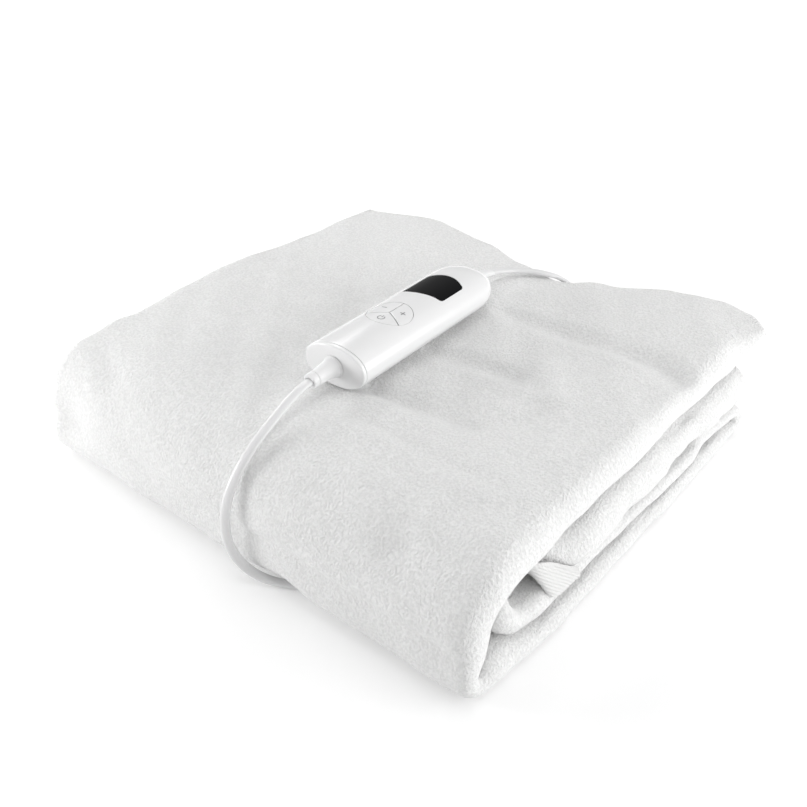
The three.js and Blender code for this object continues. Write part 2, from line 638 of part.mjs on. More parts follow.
// The flat cord's section: eight corners, each a way along its wide side and its thin side.
function cordCorners() {
  const [wide, thick] = [CORD_WIDTH / 2, CORD_THICKNESS / 2];
  const quarter = [[wide, thick * CORD_FLAT_SHARE.thick], [wide * CORD_FLAT_SHARE.wide, thick]];
  const half = [...quarter, ...quarter.map(([along, up]) => [-along, up]).reverse()];
  return [...half, ...half.map(([along, up]) => [-along, -up])];
}

// The section is set square to the route, its wide side as near to the row's way as it can be.
function makeLead(name, route) {
  const curve = new THREE.CatmullRomCurve3(route.map(([x, y, z]) => new THREE.Vector3(x, y, z)));
  const ways = route.map(([, , , x, y, z]) => new THREE.Vector3(x, y, z));
  const loops = [];
  for (let step = 0; step <= LEAD_STEPS; step++) {
    const t = curve.getUtoTmapping(step / LEAD_STEPS);
    const row = Math.min(route.length - 2, Math.floor(t * (route.length - 1)));
    const middle = curve.getPoint(t);
    const ahead = curve.getTangent(t);
    const wide = ways[row].clone().lerp(ways[row + 1], t * (route.length - 1) - row);
    wide.addScaledVector(ahead, -wide.dot(ahead)).normalize();
    const thin = ahead.clone().cross(wide);
    loops.push(cordCorners().map(([along, up]) =>
      middle.clone().addScaledVector(wide, along).addScaledVector(thin, up).toArray()));
  }
  return piece(name, loft(loops), MATERIALS.softWhite);
}

function makeCoil() {
  const half = (COIL_TURNS_ABREAST * COIL_PITCH + CORD_THICKNESS) / 2;
  const height = COIL_LAYERS * (CORD_WIDTH + COIL_LAYER_GAP);
  const [inner, outer] = [COIL_RADIUS - half, COIL_RADIUS + half];
  const profile = [[inner, 0], [outer, 0], [outer, height], [inner, height], [inner, 0]];
  const geometry = new THREE.LatheGeometry(profile.map(([r, y]) => new THREE.Vector2(r, y)), COIL_SEGMENTS);
  geometry.rotateX(90 * DEGREE);
  geometry.translate(COIL_MIDDLE.x, COIL_MIDDLE.y, 0);
  return piece('mains_coil', geometry, MATERIALS.softWhite);
}

// The plug lies flat, its cord end towards +X and its two pins towards -X.
function makePlug() {
  const group = new THREE.Group();
  group.add(makePlugBody());
  group.add(makePin('plug_pin_left', -PIN.spacing / 2), makePin('plug_pin_right', PIN.spacing / 2));
  group.position.set(PLUG_TIP.x, PLUG_TIP.y, PLUG_TIP.z);
  return group;
}

function makePlugBody() {
  const { body, shoulder, curve, width, waist, thickness, bevel } = PLUG;
  const [half, neck] = [width / 2 - bevel, (waist - bevel) / 2];
  const outline = new THREE.Shape();
  outline.moveTo(0, -neck);
  outline.bezierCurveTo(-curve, -neck, -curve, -half, -shoulder, -half);
  outline.lineTo(-body + bevel, -half);
  outline.lineTo(-body + bevel, half);
  outline.lineTo(-shoulder, half);
  outline.bezierCurveTo(-curve, half, -curve, neck, 0, neck);
  outline.closePath();
  const shell = new THREE.ExtrudeGeometry(outline, {
    depth: thickness - 2 * bevel,
    bevelThickness: bevel,
    bevelSize: bevel,
    bevelSegments: 2,
    curveSegments: 8,
  });
  shell.translate(-PLUG_SLEEVE.length, 0, -thickness / 2 + bevel);
  const reach = PLUG_SLEEVE.length + PLUG_SLEEVE.sunk;
  const { tipRadius, rootRadius, segments } = PLUG_SLEEVE;
  const sleeve = new THREE.CylinderGeometry(tipRadius, rootRadius, reach, segments);
  sleeve.rotateZ(-90 * DEGREE);
  sleeve.translate(-reach / 2, 0, 0);
  return piece('plug_body', geometryOf(solidOf(shell).add(solidOf(sleeve))), MATERIALS.softWhite);
}

function makePin(name, y) {
  const { length, radius, tipLength, tipRadius, segments } = PIN;
  const profile = [[0, 0], [radius, 0], [radius, length - tipLength], [tipRadius, length], [0, length]];
  const pin = new THREE.LatheGeometry(profile.map(([r, along]) => new THREE.Vector2(r, along)), segments);
  pin.rotateZ(90 * DEGREE);
  pin.translate(-PLUG_SLEEVE.length - PLUG.body - GAP, y, 0);
  return piece(name, pin, MATERIALS.metal);
}

const model = new THREE.Group();
model.add(makePad());
model.add(makeStrap());
model.add(makeControl());
model.add(makeLead('pad_lead', PAD_LEAD_ROUTE));
model.add(makeLead('mains_lead', MAINS_LEAD_ROUTE));
model.add(makeCoil());
model.add(makePlug());

export default model;
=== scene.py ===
# %% [markdown]
# # A folded heated mattress pad
#
# The object is a white fleece pad for under a bed sheet, folded up, with its hand control on top.
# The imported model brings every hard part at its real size. This lesson dresses it: the cloth gets
# its fine folds, the control its gloss, and the leads their real length.
#
# Every length below is written in millimetres, and the helpers turn it into metres.

import bmesh
import bpy
import numpy as np
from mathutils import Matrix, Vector


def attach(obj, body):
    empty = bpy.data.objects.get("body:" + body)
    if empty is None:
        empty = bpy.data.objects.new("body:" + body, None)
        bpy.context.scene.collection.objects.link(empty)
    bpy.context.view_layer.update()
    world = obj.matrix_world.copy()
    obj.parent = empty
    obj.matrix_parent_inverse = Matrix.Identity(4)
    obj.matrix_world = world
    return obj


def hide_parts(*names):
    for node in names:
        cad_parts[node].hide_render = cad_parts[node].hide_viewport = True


MM = 0.001
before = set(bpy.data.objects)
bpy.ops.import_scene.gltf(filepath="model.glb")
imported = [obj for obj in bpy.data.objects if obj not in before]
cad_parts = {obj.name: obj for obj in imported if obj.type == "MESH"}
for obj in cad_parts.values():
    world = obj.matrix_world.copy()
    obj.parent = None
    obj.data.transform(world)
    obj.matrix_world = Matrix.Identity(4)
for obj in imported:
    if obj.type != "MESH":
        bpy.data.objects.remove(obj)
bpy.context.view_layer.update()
print("nodes in the model:", len(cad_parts))

# %% [markdown]
# ## The camera
#
# The camera comes first. Its height, its pitch and its turn were worked out from the four bottom
# edges of the bundle in the photograph.

# %% Place the camera
CAMERA_PLACE = (364.0, -450.0, 400.0)
CAMERA_DOWN = 33.07
CAMERA_TURN = 39.8
FOCAL_PIXELS = 988.0
FRAME_PIXELS = 807.0
SENSOR_WIDTH = 36.0

lens = bpy.data.cameras.new("camera")
lens.sensor_width = SENSOR_WIDTH
lens.lens = SENSOR_WIDTH * FOCAL_PIXELS / FRAME_PIXELS
lens.clip_start = 0.01
camera = bpy.data.objects.new("camera", lens)
camera.location = [value * MM for value in CAMERA_PLACE]
camera.rotation_euler = (np.radians(90 - CAMERA_DOWN), 0, np.radians(CAMERA_TURN))
bpy.context.scene.collection.objects.link(camera)
bpy.context.scene.camera = camera
print("lens:", round(lens.lens, 2), "mm")

# %% [markdown]
# ## Meshes from grids
#
# Nearly every piece here is a surface over two parameters. It can be drawn by hand in the
# modeller, or pushed out of a flat sheet with modifiers. A grid of points worked out with numpy
# is exact, quick and easy to change, so one helper turns such a grid into a mesh.

# %% Turn arrays of points into an object
SHORTEST_EDGE = 1e-7


def unit(vectors):
    """Each vector divided by its own length."""
    return vectors / np.maximum(np.linalg.norm(vectors, axis=-1, keepdims=True), 1e-12)


def smooth(t):
    """The soft step 3t^2 - 2t^3, with t held between 0 and 1."""
    t = np.clip(t, 0.0, 1.0)
    return t * t * (3.0 - 2.0 * t)


def fuller(values, power):
    """Each value's size raised to the power, its sign kept. A power below one fills an oval out."""
    return np.sign(values) * np.abs(values) ** power


def once_round(count):
    """The cosine and the sine of angles that go evenly once round."""
    angle = np.linspace(0.0, 2.0 * np.pi, count, endpoint=False)
    return np.cos(angle), np.sin(angle)


def grid_quads(rows, columns, ring_columns=False):
    """The corners of every quad of a grid whose points are numbered row by row."""
    row = np.arange(rows - 1)
    column = np.arange(columns if ring_columns else columns - 1)
    row, column = [part.ravel() for part in np.meshgrid(row, column, indexing="ij")]
    next_row = (row + 1) % rows
    next_column = (column + 1) % columns
    corners = (
        row * columns + column,
        next_row * columns + column,
        next_row * columns + next_column,
        row * columns + next_column,
    )
    return np.stack(corners, axis=1)


def smooth_all_but_sharp(mesh, sharp_over):
    """Smooth shading, with the edges that bend by more than the angle left sharp."""
    mesh.polygons.foreach_set("use_smooth", np.ones(len(mesh.polygons), dtype=bool))
    mesh.set_sharp_from_angle(angle=np.radians(sharp_over))


def add_mesh(name, points, faces, sharp_over=40.0, weld=0.002):
    """An object from points in millimetres, merged where they meet, with its faces turned outwards."""
    mesh = bpy.data.meshes.new(name)
    mesh.from_pydata(np.asarray(points).reshape(-1, 3) * MM, [], faces)
    work = bmesh.new()
    work.from_mesh(mesh)
    bmesh.ops.remove_doubles(work, verts=work.verts, dist=weld * MM)
    bmesh.ops.dissolve_degenerate(work, edges=work.edges, dist=SHORTEST_EDGE)
    bmesh.ops.recalc_face_normals(work, faces=work.faces)
    work.to_mesh(mesh)
    work.free()
    smooth_all_but_sharp(mesh, sharp_over)
    piece = bpy.data.objects.new(name, mesh)
    bpy.context.scene.collection.objects.link(piece)
    return piece


def closed_tube(name, rings, sharp_over=40.0):
    """A solid through rings of points, closed by a flat face at each end."""
    count, around = rings.shape[:2]
    quads = grid_quads(count, around, ring_columns=True).tolist()
    first = list(range(around))[::-1]
    last = list(range((count - 1) * around, count * around))
    return add_mesh(name, rings, quads + [first, last], sharp_over)


def triangles_in(piece):
    """How many triangles the object's mesh makes."""
    return sum(len(face.vertices) - 2 for face in piece.data.polygons)


def declare(piece, body, slot, *nodes):
    """Hides the nodes the piece stands for and hangs it on its body's empty. The slot is not used."""
    if nodes:
        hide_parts(*nodes)
    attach(piece, body)


print("helpers ready")

# %% [markdown]
# ## Lines through given points
#
# A lead bends smoothly, so its route is a curve through the few points that the model gives. The
# curve here is a cubic through each pair of points, whose slope at a point follows its two
# neighbours, with the spacing of the points taken into account.

# %% A smooth curve through points
DENSE_STEPS = 40


def travelled(line):
    """How far along the line each of its points is."""
    return np.concatenate([[0.0], np.cumsum(np.linalg.norm(np.diff(line, axis=0), axis=1))])


def cubic(points, slopes, knots, wanted):
    """The cubic that keeps each point's place and slope: its places and its own slopes where wanted."""
    i = np.clip(np.searchsorted(knots, wanted, side="right") - 1, 0, len(knots) - 2)
    width = (knots[i + 1] - knots[i])[:, None]
    t = (wanted - knots[i])[:, None] / width
    place = (
        points[i] * (2 * t**3 - 3 * t**2 + 1)
        + slopes[i] * width * (t**3 - 2 * t**2 + t)
        + points[i + 1] * (3 * t**2 - 2 * t**3)
        + slopes[i + 1] * width * (t**3 - t**2)
    )
    ahead = (
        points[i] * (6 * t**2 - 6 * t)
        + slopes[i] * width * (3 * t**2 - 4 * t + 1)
        + points[i + 1] * (6 * t - 6 * t**2)
        + slopes[i + 1] * width * (3 * t**2 - 2 * t)
    )
    return place, ahead


def curve_through(points, spacing):
    """A cubic whose slopes come from each point's neighbours, in even steps of about the spacing."""
    points = np.asarray(points, dtype=float)
    steps = np.linalg.norm(np.diff(points[:, :3], axis=0), axis=1)
    knots = np.concatenate([[0.0], np.cumsum(np.sqrt(steps))])
    slopes = np.gradient(points, knots, axis=0, edge_order=2)
    wanted = np.linspace(0.0, knots[-1], DENSE_STEPS * len(points))
    line = cubic(points, slopes, knots, wanted)[0]
    return even_steps(line, spacing)


def even_steps(line, spacing):
    """The same line with its points an equal length apart."""
    way = travelled(line[:, :3])
    count = max(2, int(round(way[-1] / spacing)) + 1)
    wanted = np.linspace(0.0, way[-1], count)
    return np.stack([np.interp(wanted, way, column) for column in line.T], axis=1)


def length_of(line):
    """The length of a line of points."""
    return float(np.linalg.norm(np.diff(line[:, :3], axis=0), axis=1).sum())


print("curve helper ready")

# %% [markdown]
# ## The two leads
#
# Each lead is a flat cord, 6 mm wide, with a full oval section over its two wires. A bevelled curve
# would give a round cord, so the oval is carried along the route instead. Each row of a route holds
# a place and a hint of which way the cord's wide side points. The lead to the pad goes over the
# front and under the bundle.

# %% The lead from the control to the pad
CORD_WIDTH = 6.0
CORD_THICKNESS = 3.5
CORD_FULLNESS = 0.82
CORD_POINTS = 24
CORD_STEP = 2.0

# x, y, z, then the hint for the wide side
PAD_LEAD_ROUTE = [
    (3.37, -103.1, 92, 1, 0, 0),
    (3.45, -104.85, 92, 1, 0, 0),
    (4.3, -113, 91.2, 1, 0, 0),
    (5.6, -124, 88.8, 1, 0, 0),
    (7.2, -135, 85.6, 1, 0, 0),
    (8.6, -146, 81.8, 1, 0, 0),
    (9.2, -156, 76.6, 1, 0, 0),
    (9.2, -165, 69.6, 1, 0.1, 0),
    (9, -172.6, 61, 1, 0.2, 0),
    (8.8, -178.2, 51.5, 1, 0.3, 0),
    (9, -181.6, 41.6, 1, 0.4, 0),
    (10.2, -183.2, 31.6, 0.9, 0.5, 0),
    (13, -183.4, 22, 0.8, 0.6, 0),
    (17.6, -182.2, 14, 0.5, 0.8, 0),
    (23.8, -179.8, 8, 0.3, 1, 0),
    (31, -176.4, 4.2, 0.1, 1, 0),
    (38.6, -172.4, 2.4, 0, 1, 0),
    (45.2, -168.6, 2, 0, 1, 0),
    (51, -165, 2, 0, 1, 0),
]


def flat_cord(name, line):
    """A full oval set square to the line at each point, its wide side as near the hint as it can be."""
    place = line[:, :3]
    ahead = unit(np.gradient(place, axis=0))
    hint = line[:, 3:6]
    across = unit(hint - (hint * ahead).sum(axis=1, keepdims=True) * ahead)
    up = np.cross(ahead, across)
    cos, sin = once_round(CORD_POINTS)
    wide = (CORD_WIDTH / 2 * fuller(cos, CORD_FULLNESS))[None, :, None]
    thick = (CORD_THICKNESS / 2 * fuller(sin, CORD_FULLNESS))[None, :, None]
    rings = place[:, None] + wide * across[:, None] + thick * up[:, None]
    return closed_tube(name, rings, sharp_over=50.0)


pad_line = curve_through(PAD_LEAD_ROUTE, CORD_STEP)
pad_lead = flat_cord("pad_lead_cord", pad_line)
declare(pad_lead, "bundle", "cord", "pad_lead")
print("pad lead:", round(length_of(pad_line)), "mm")

# %% [markdown]
# The mains lead shows for a hand's length before it drops behind the bundle. The rest is wound
# into a neat coil that lies on the surface behind the pad: it spirals in on the upper layer, drops
# to the lower one at the middle, spirals out again and ends in the plug.

# %% The mains lead and its coil
MAINS_LEAD_ROUTE = [
    (-5.3, 91.2, 88.7, 1, 0, 0),
    (-5.2, 93.2, 88.3, 1, 0, 0),
    (-4.8, 101, 86.2, 1, 0, 0),
    (-2.9, 109, 84.4, 1, -0.2, 0),
    (0.8, 116.6, 83, 0.9, -0.4, 0),
    (6, 123, 81.7, 0.8, -0.55, 0),
    (11.7, 128.4, 80.6, 0.75, -0.6, 0),
    (17, 133.8, 78.6, 0.8, -0.55, 0),
    (21, 139.8, 75.8, 0.9, -0.35, 0),
    (23.8, 146, 71.4, 0.95, -0.2, 0),
    (25, 151.8, 66.6, 1, 0, 0),
    (25.2, 156.6, 59, 1, 0.1, 0),
    (23.8, 160.4, 50.6, 0.95, 0.2, 0),
    (20.4, 162.4, 42.2, 0.9, 0.4, 0),
    (15.2, 162.8, 34.4, 0.8, 0.6, 0.1),
    (8.6, 162.8, 27.8, 0.6, 0.7, 0.2),
    (1, 162.8, 22.4, 0.4, 0.7, 0.5),
    (-7, 162.8, 18, 0.2, 0.6, 0.7),
    (-14.8, 162.7, 14, 0, 0.2, 1),
    (-21.8, 162.7, 11.1, 0, 0, 1),
    (-28.4, 162.7, 9.4, 0, 0, 1),
]
COIL_MIDDLE = (-46.0, 204.0)
COIL_OUTER = 41.3
COIL_INNER = 28.7
COIL_TURNS = 7
COIL_START = np.radians(-90.0)
POINTS_A_TURN = 72
LAYER_LOW = 3.15
LAYER_HIGH = 9.35
PLUG_NECK = (-67.4, 162.7, 6.6)
COIL_TAIL = [
    (-52, 162.7, 3.3, 0, 0, 1),
    (-58, 162.7, 4.4, 0, 0, 1),
    (-63.5, 162.7, 5.8, 0, 0, 1),
    (*PLUG_NECK, 0, 0, 1),
]


def coil_line():
    """Turns about the coil's middle: the radius falls evenly to the inner one and grows back, and the
    height changes from the upper to the lower layer by a soft step over the middle half turn."""
    turns = np.linspace(0.0, COIL_TURNS, COIL_TURNS * POINTS_A_TURN + 1)
    angle = COIL_START - 2 * np.pi * turns
    share = np.abs(2 * turns / COIL_TURNS - 1)
    radius = COIL_INNER + (COIL_OUTER - COIL_INNER) * share
    height = LAYER_HIGH + (LAYER_LOW - LAYER_HIGH) * smooth(turns - COIL_TURNS / 2 + 0.5)
    x = COIL_MIDDLE[0] + radius * np.cos(angle)
    y = COIL_MIDDLE[1] + radius * np.sin(angle)
    upright = np.broadcast_to([0.0, 0.0, 1.0], (len(turns), 3))
    return np.column_stack([x, y, height, upright])


coil = coil_line()
seen = curve_through(MAINS_LEAD_ROUTE + [tuple(coil[0])], CORD_STEP)
end = curve_through([tuple(coil[-1])] + COIL_TAIL, CORD_STEP)
mains_line = even_steps(np.vstack([seen, coil[1:], end[1:]]), CORD_STEP)
mains_lead = flat_cord("mains_lead_cord", mains_line)
declare(mains_lead, "bundle", "cord", "mains_lead", "mains_coil")
print("mains lead:", round(length_of(mains_line)), "mm")

# %% [markdown]
# ## The pad's fold
#
# The pad is one fleece sheet, doubled lengthwise with its rim on the right, then folded back and
# forth like a letter. It could be draped by a cloth simulation, but a fold this tidy is laid out
# row by row. So each row of the table is a place along the fold: the middle of the doubled sheet, how
# thick it lies, how far out its rim and its open edges reach, and how it goes on from there.

# %% The rows of the fold
SHEET = 4.0
PAD_HEIGHT = 79.0
HEM_STAGGER = 6.0
HEM_REACH = 95.0

# y, z, loft, rim x, open x, steps, the way to the next row
FOLDS = [
    (150, 73, 9.6, 179, -170, 4, "straight"),
    (112, 67.4, 23.2, 174, -169, 6, "straight"),
    (50, 67.4, 23.2, 175, -168, 9, "straight"),
    (-60, 66.8, 24.4, 175, -172, 6, "straight"),
    (-128, 64.8, 28.4, 176.5, -171, 7, "leaves level"),
    (-162, 34, 29, 176.5, -170, 3, "falls"),
    (-171, 15.6, 12.6, 177.5, -170, 4, "arrives level"),
    (-161.5, 6.3, 12.6, 179, -170, 2, "straight"),
    (-150, 9.5, 19, 181, -170, 3, "straight"),
    (-118, 6.3, 12.6, 182.7, -169, 4, "straight"),
    (-20, 5.8, 11.6, 181, -169, 4, "straight"),
    (136.4, 5.3, 10.6, 177.5, -169, 3, "leaves level"),
    (143, 12, 9.2, 177, -168, 3, "arrives level"),
    (136.4, 18.5, 10, 176, -167, 3, "straight"),
    (94, 18.5, 10, 173, -168, 2, "straight"),
    (70, 18.5, 10, 177.5, -168, 4, "straight"),
    (-60, 18.5, 10, 175.5, -168, 4, "straight"),
    (-118, 21.6, 15.8, 177, -170, 5, "leaves level"),
    (-137.9, 35.4, 17, 176.5, -168, 5, "arrives level"),
    (-118, 45.7, 9, 158, -168, 6, "straight"),
    (-66, 37.6, 26.8, 181.5, -169, 3, "straight"),
    (-10, 38.6, 28, 179, -169, 6, "straight"),
    (120, 38.5, 27, 179, -168, 3, "straight"),
    (146, 37, 22, 174, -168, 0, "ends"),
]


def step_shares(way, t):
    """How far y and z have come at t of a step. A quarter turn is a quarter of an ellipse."""
    angle = t * np.pi / 2
    ways = {
        "straight": (t, smooth(t)),
        "leaves level": (np.sin(angle), 1 - np.cos(angle)),
        "arrives level": (1 - np.cos(angle), np.sin(angle)),
        "falls": (smooth(t), t),
    }
    return ways[way]


def fold_places():
    """The places of the model's own solid: y, z, loft, rim x and open x at each step between the rows."""
    parts = []
    for row, after in zip(FOLDS[:-1], FOLDS[1:]):
        t = np.arange(row[5]) / row[5]
        parts.append(place_between(row, after, t))
    parts.append(place_between(FOLDS[-2], FOLDS[-1], np.array([1.0])))
    return np.vstack(parts)


def place_between(row, after, t):
    """The two rows mixed: y and z by the way's own shares, the rest by a soft step."""
    share_y, share_z = step_shares(row[6], t)
    shares = [share_y, share_z, smooth(t), smooth(t), smooth(t)]
    return np.stack([row[k] + (after[k] - row[k]) * shares[k] for k in range(5)], axis=1)


places = fold_places()
fold_length = np.linalg.norm(np.diff(places[:, :2], axis=0), axis=1).sum()
print("places along the fold:", len(places), "folded length:", round(fold_length), "mm")

# %% [markdown]
# The places are joined by a smooth curve, and each point of it gets the direction that the outer
# ply faces. Across the sheet, a column runs over the outer ply, round the rim in half a circle,
# and back over the inner ply.

# %% Stations along the fold and columns across it
ROWS_SHOWN = 7
FINE_STEP = 3.6
COARSE_STEP = 4.6
TOP_COLUMNS = 76
RIM_COLUMNS = 14
UNDER_COLUMNS = 38


def fold_stations():
    """A cubic through the places, finer where it can be seen. A place's slope joins its neighbours."""
    knots = travelled(places[:, :2])
    before = np.maximum(np.arange(len(knots)) - 1, 0)
    after = np.minimum(np.arange(len(knots)) + 1, len(knots) - 1)
    slopes = (places[after] - places[before]) / (knots[after] - knots[before])[:, None]
    shown_to = knots[sum(row[5] for row in FOLDS[:ROWS_SHOWN])]
    fine = np.arange(0.0, shown_to, FINE_STEP)
    rest = np.linspace(shown_to, knots[-1], int((knots[-1] - shown_to) / COARSE_STEP))
    s = np.concatenate([fine[:-1], rest])
    place, ahead = cubic(places, slopes, knots, s)
    ahead = unit(ahead[:, :2])
    facing = np.stack([ahead[:, 1], -ahead[:, 0]], axis=1)
    return s, place, facing


def pad_columns():
    """Each column's share of the flat width, its angle round the rim, and its stagger at the hem."""
    top = np.arange(TOP_COLUMNS) / TOP_COLUMNS
    rim = np.radians(90.0 - 180.0 * np.arange(RIM_COLUMNS + 1) / RIM_COLUMNS)
    under = np.arange(UNDER_COLUMNS)[::-1] / UNDER_COLUMNS
    across = np.concatenate([top, np.ones(len(rim)), under])
    angle = np.concatenate([np.full(len(top), np.pi / 2), rim, np.full(len(under), -np.pi / 2)])
    stagger = np.concatenate([np.zeros(len(top) + len(rim)), HEM_STAGGER * (1 - under)])
    return across, angle, stagger


from_hem, stations, outward = fold_stations()
print("stations:", len(from_hem), "columns:", TOP_COLUMNS + RIM_COLUMNS + 1 + UNDER_COLUMNS)

# %% [markdown]
# ## Wire lines, dents and swells
#
# The heating wires draw soft troughs and ridges on the top. They could be sculpted by hand. Here
# each is a line with a depth and a width, and the cloth sinks by a bell curve of the distance to
# it, so every crease can be moved or softened by changing one number.

# %% Tables of creases
# y of the hem on top, for x from the open edges to the rim
TOP_HEM_X = [-170, -112, -54, -7, 26, 62, 106, 140, 160, 183]
TOP_HEM_Y = [146, 159, 152, 139, 134.5, 148, 168, 174, 169, 152]

# depth, half width, points (x, y) on the top
WIRE_LINES = [
    (3.6, 11, [(26, 54), (62, 60), (102, 67), (134, 71), (160, 60)]),
    (2.8, 12, [(24, -14), (72, -6)]),
    (3.4, 11, [(22, -64), (84, -55), (112, -40), (114, -24)]),
    (-2.2, 12, [(90, 20), (112, -4)]),
    (-2.0, 13, [(40, -112), (112, -94), (158, -98)]),
    (1.2, 12, [(-150, 48), (-40, 52)]),
    (1.2, 12, [(-150, -22), (-45, -18)]),
    (1.2, 12, [(-140, -82), (-40, -76)]),
]

# the sharper bottoms and crests of the same lines: depth, half width, points (x, y) on the top
SHARP_LINES = [
    (3.0, 6, [(20, 68), (68, 70), (110, 71), (142, 72), (163, 66)]),
    (-1.5, 6, [(24, 52), (68, 55), (108, 56), (138, 55)]),
    (3.0, 6, [(16, -3), (46, 0), (80, 1)]),
    (-1.5, 6, [(22, -18), (78, -14)]),
    (3.0, 6, [(18, -66), (52, -64), (92, -60)]),
    (-1.5, 6, [(20, -80), (60, -79), (96, -74)]),
    (-1.8, 6, [(94, -15), (107, -12), (119, -8)]),
    (1.6, 6, [(40, -98), (96, -101), (136, -98)]),
    (-1.7, 7, [(34, -110), (95, -115), (139, -111)]),
    (-1.8, 6, [(119, -126), (124, -142), (126, -152)]),
    (1.6, 5, [(124, -156), (112, -166)]),
    (1.9, 8, [(-172, -132), (-122, -157)]),
    (-1.5, 8, [(-170, -112), (-140, -108)]),
    (1.2, 8, [(-160, 10), (-60, 22)]),
    (1.1, 8, [(-150, -52), (-45, -48)]),
]

# creases where the rims are crumpled: depth, half width, points (x, y, z)
RIM_CREASES = [
    (2.2, 4.0, [(178, 34, 31.5), (178, 60, 28.5), (177, 96, 22)]),
    (1.8, 4.0, [(180, 26, 44), (181, 38, 34), (181, 48, 27)]),
    (1.6, 3.5, [(180, 70, 42), (181, 80, 32), (180, 84, 26)]),
    (1.5, 3.5, [(180, 104, 36), (180, 112, 26)]),
    (1.6, 4.0, [(178, -160, 39), (180, -156, 28)]),
    (1.5, 3.5, [(172, -128, 24), (178, -122, 18)]),
    (1.4, 3.5, [(170, -137, 30), (178, -140, 24)]),
    (1.3, 3.5, [(178, -146, 20), (181, -138, 10)]),
    (1.3, 4.0, [(181, -96, 14), (182, -84, 5)]),
    (1.3, 4.0, [(180, -64, 22), (181, -52, 14)]),
    (1.5, 4.0, [(180, 62, 20), (179, 88, 12)]),
    (1.4, 4.0, [(180, 8, 22), (181, 20, 12)]),
    (1.4, 4.5, [(180, -30, 46), (181, -20, 34)]),
]

# x, y, z, reach, depth
DENTS = [
    (118, -156, 60, 20, 3.5),
    (-152, -172, 38, 17, 5),
    (178, 62, 36, 16, 3),
    (172, 40, 64, 24, 1.6),
]

# x, y, reach, height
SWELLS = [
    (-100, 142, 46, 3),
    (132, 128, 50, 4),
    (-165, -110, 40, -2.5),
    (-165, 0, 55, 4.6),
    (21, 140, 20, -2.2),
    (0, -5, 95, -2.6),
    (150, -110, 50, -2),
]
LEAD_LIFT = (48, -168, 17, 6)


def bell(distance, reach):
    """A bell curve: 1 at no distance, and 0.37 at the reach."""
    return np.exp(-((distance / reach) ** 2))


def distance_to_route(points, route):
    """The least distance from each point to the line through the route's points, in plan or in space."""
    route = np.asarray(route, dtype=float)
    nearest = np.full(points.shape[:-1], np.inf)
    for start, stop in zip(route[:-1], route[1:]):
        way = stop - start
        share = np.clip(((points - start) @ way) / (way @ way), 0.0, 1.0)
        nearest = np.minimum(nearest, np.linalg.norm(points - start - share[..., None] * way, axis=-1))
    return nearest


def troughs(points, lines):
    """The depth of all the lines together: each sinks by a bell curve of the distance to it."""
    return sum(deep * bell(distance_to_route(points, route), wide) for deep, wide, route in lines)


def swollen(points):
    """The height scaled up or down about each swell, and lifted off the floor where the lead goes under."""
    x, y, z = points[..., 0], points[..., 1], points[..., 2]
    height = sum(tall * bell(np.hypot(x - sx, y - sy), reach) for sx, sy, reach, tall in SWELLS)
    lead_x, lead_y, reach, tall = LEAD_LIFT
    lift = tall * bell(np.hypot(x - lead_x, y - lead_y), reach)
    raised = z * (1 + height / PAD_HEIGHT) + lift * (1 - z / PAD_HEIGHT)
    return np.stack([x, y, np.maximum(raised, 0.0)], axis=-1)


def pressed_in(points, facing_up):
    """How deep the cloth sinks: wire lines on the top, creases in the rims, and dents anywhere."""
    on_top = np.where(points[..., 2] > PAD_HEIGHT / 2, np.clip(facing_up, 0.0, 1.0), 0.0)
    wires = troughs(points[..., :2], WIRE_LINES + SHARP_LINES)
    creases = troughs(points, RIM_CREASES)
    dents = sum(
        deep * bell(np.linalg.norm(points - np.array([x, y, z]), axis=-1), reach)
        for x, y, z, reach, deep in DENTS
    )
    return on_top * wires + creases + dents


print("lines on the top:", len(WIRE_LINES) + len(SHARP_LINES), "creases in the rims:", len(RIM_CREASES))
print("dents:", len(DENTS), "swells:", len(SWELLS))

# %% [markdown]
# A soft sheet is never quite even. A few crossing waves with unequal lengths, added together, give
# slow unevenness without any repeat that the eye can catch.

# %% Uneven waves over the cloth
# wave length along x, y, z, phase, height
WAVES = [
    (83, 131, 90, 0.4, 0.34),
    (47, 61, 70, 1.9, 0.24),
    (-71, 44, 53, 3.1, 0.22),
    (29, 37, 33, 5.0, 0.12),
    (-23, 31, 27, 2.2, 0.09),
]


def uneven(points):
    """A sum of sine waves of the place, each with its own lengths and phase."""
    x, y, z = points[..., 0], points[..., 1], points[..., 2]
    return sum(
        tall * np.sin(2 * np.pi * (x / wx + y / wy + z / wz) + phase)
        for wx, wy, wz, phase, tall in WAVES
    )


print("waves:", len(WAVES))

# %% [markdown]
# ## The sheet's two faces
#
# The grid of columns over stations is the outer face. It is pressed in by the creases and the
# waves, and the inner face lies one ply deeper. The two are closed into one solid by a row of
# points along each cut edge.

# %% Both faces of the pad
EDGE_THINNING = 0.42
EDGE_REACH = 7.0
# the least that stays between a ply and the middle of the doubled sheet
PLY_GAP = 0.6
# columns that have turned further than this round the rim lie on the inner ply, which isn't pressed
UNDER_PLY = np.radians(-89)
TABLE_POINTS = 400
PAD_BULGE = 0.9


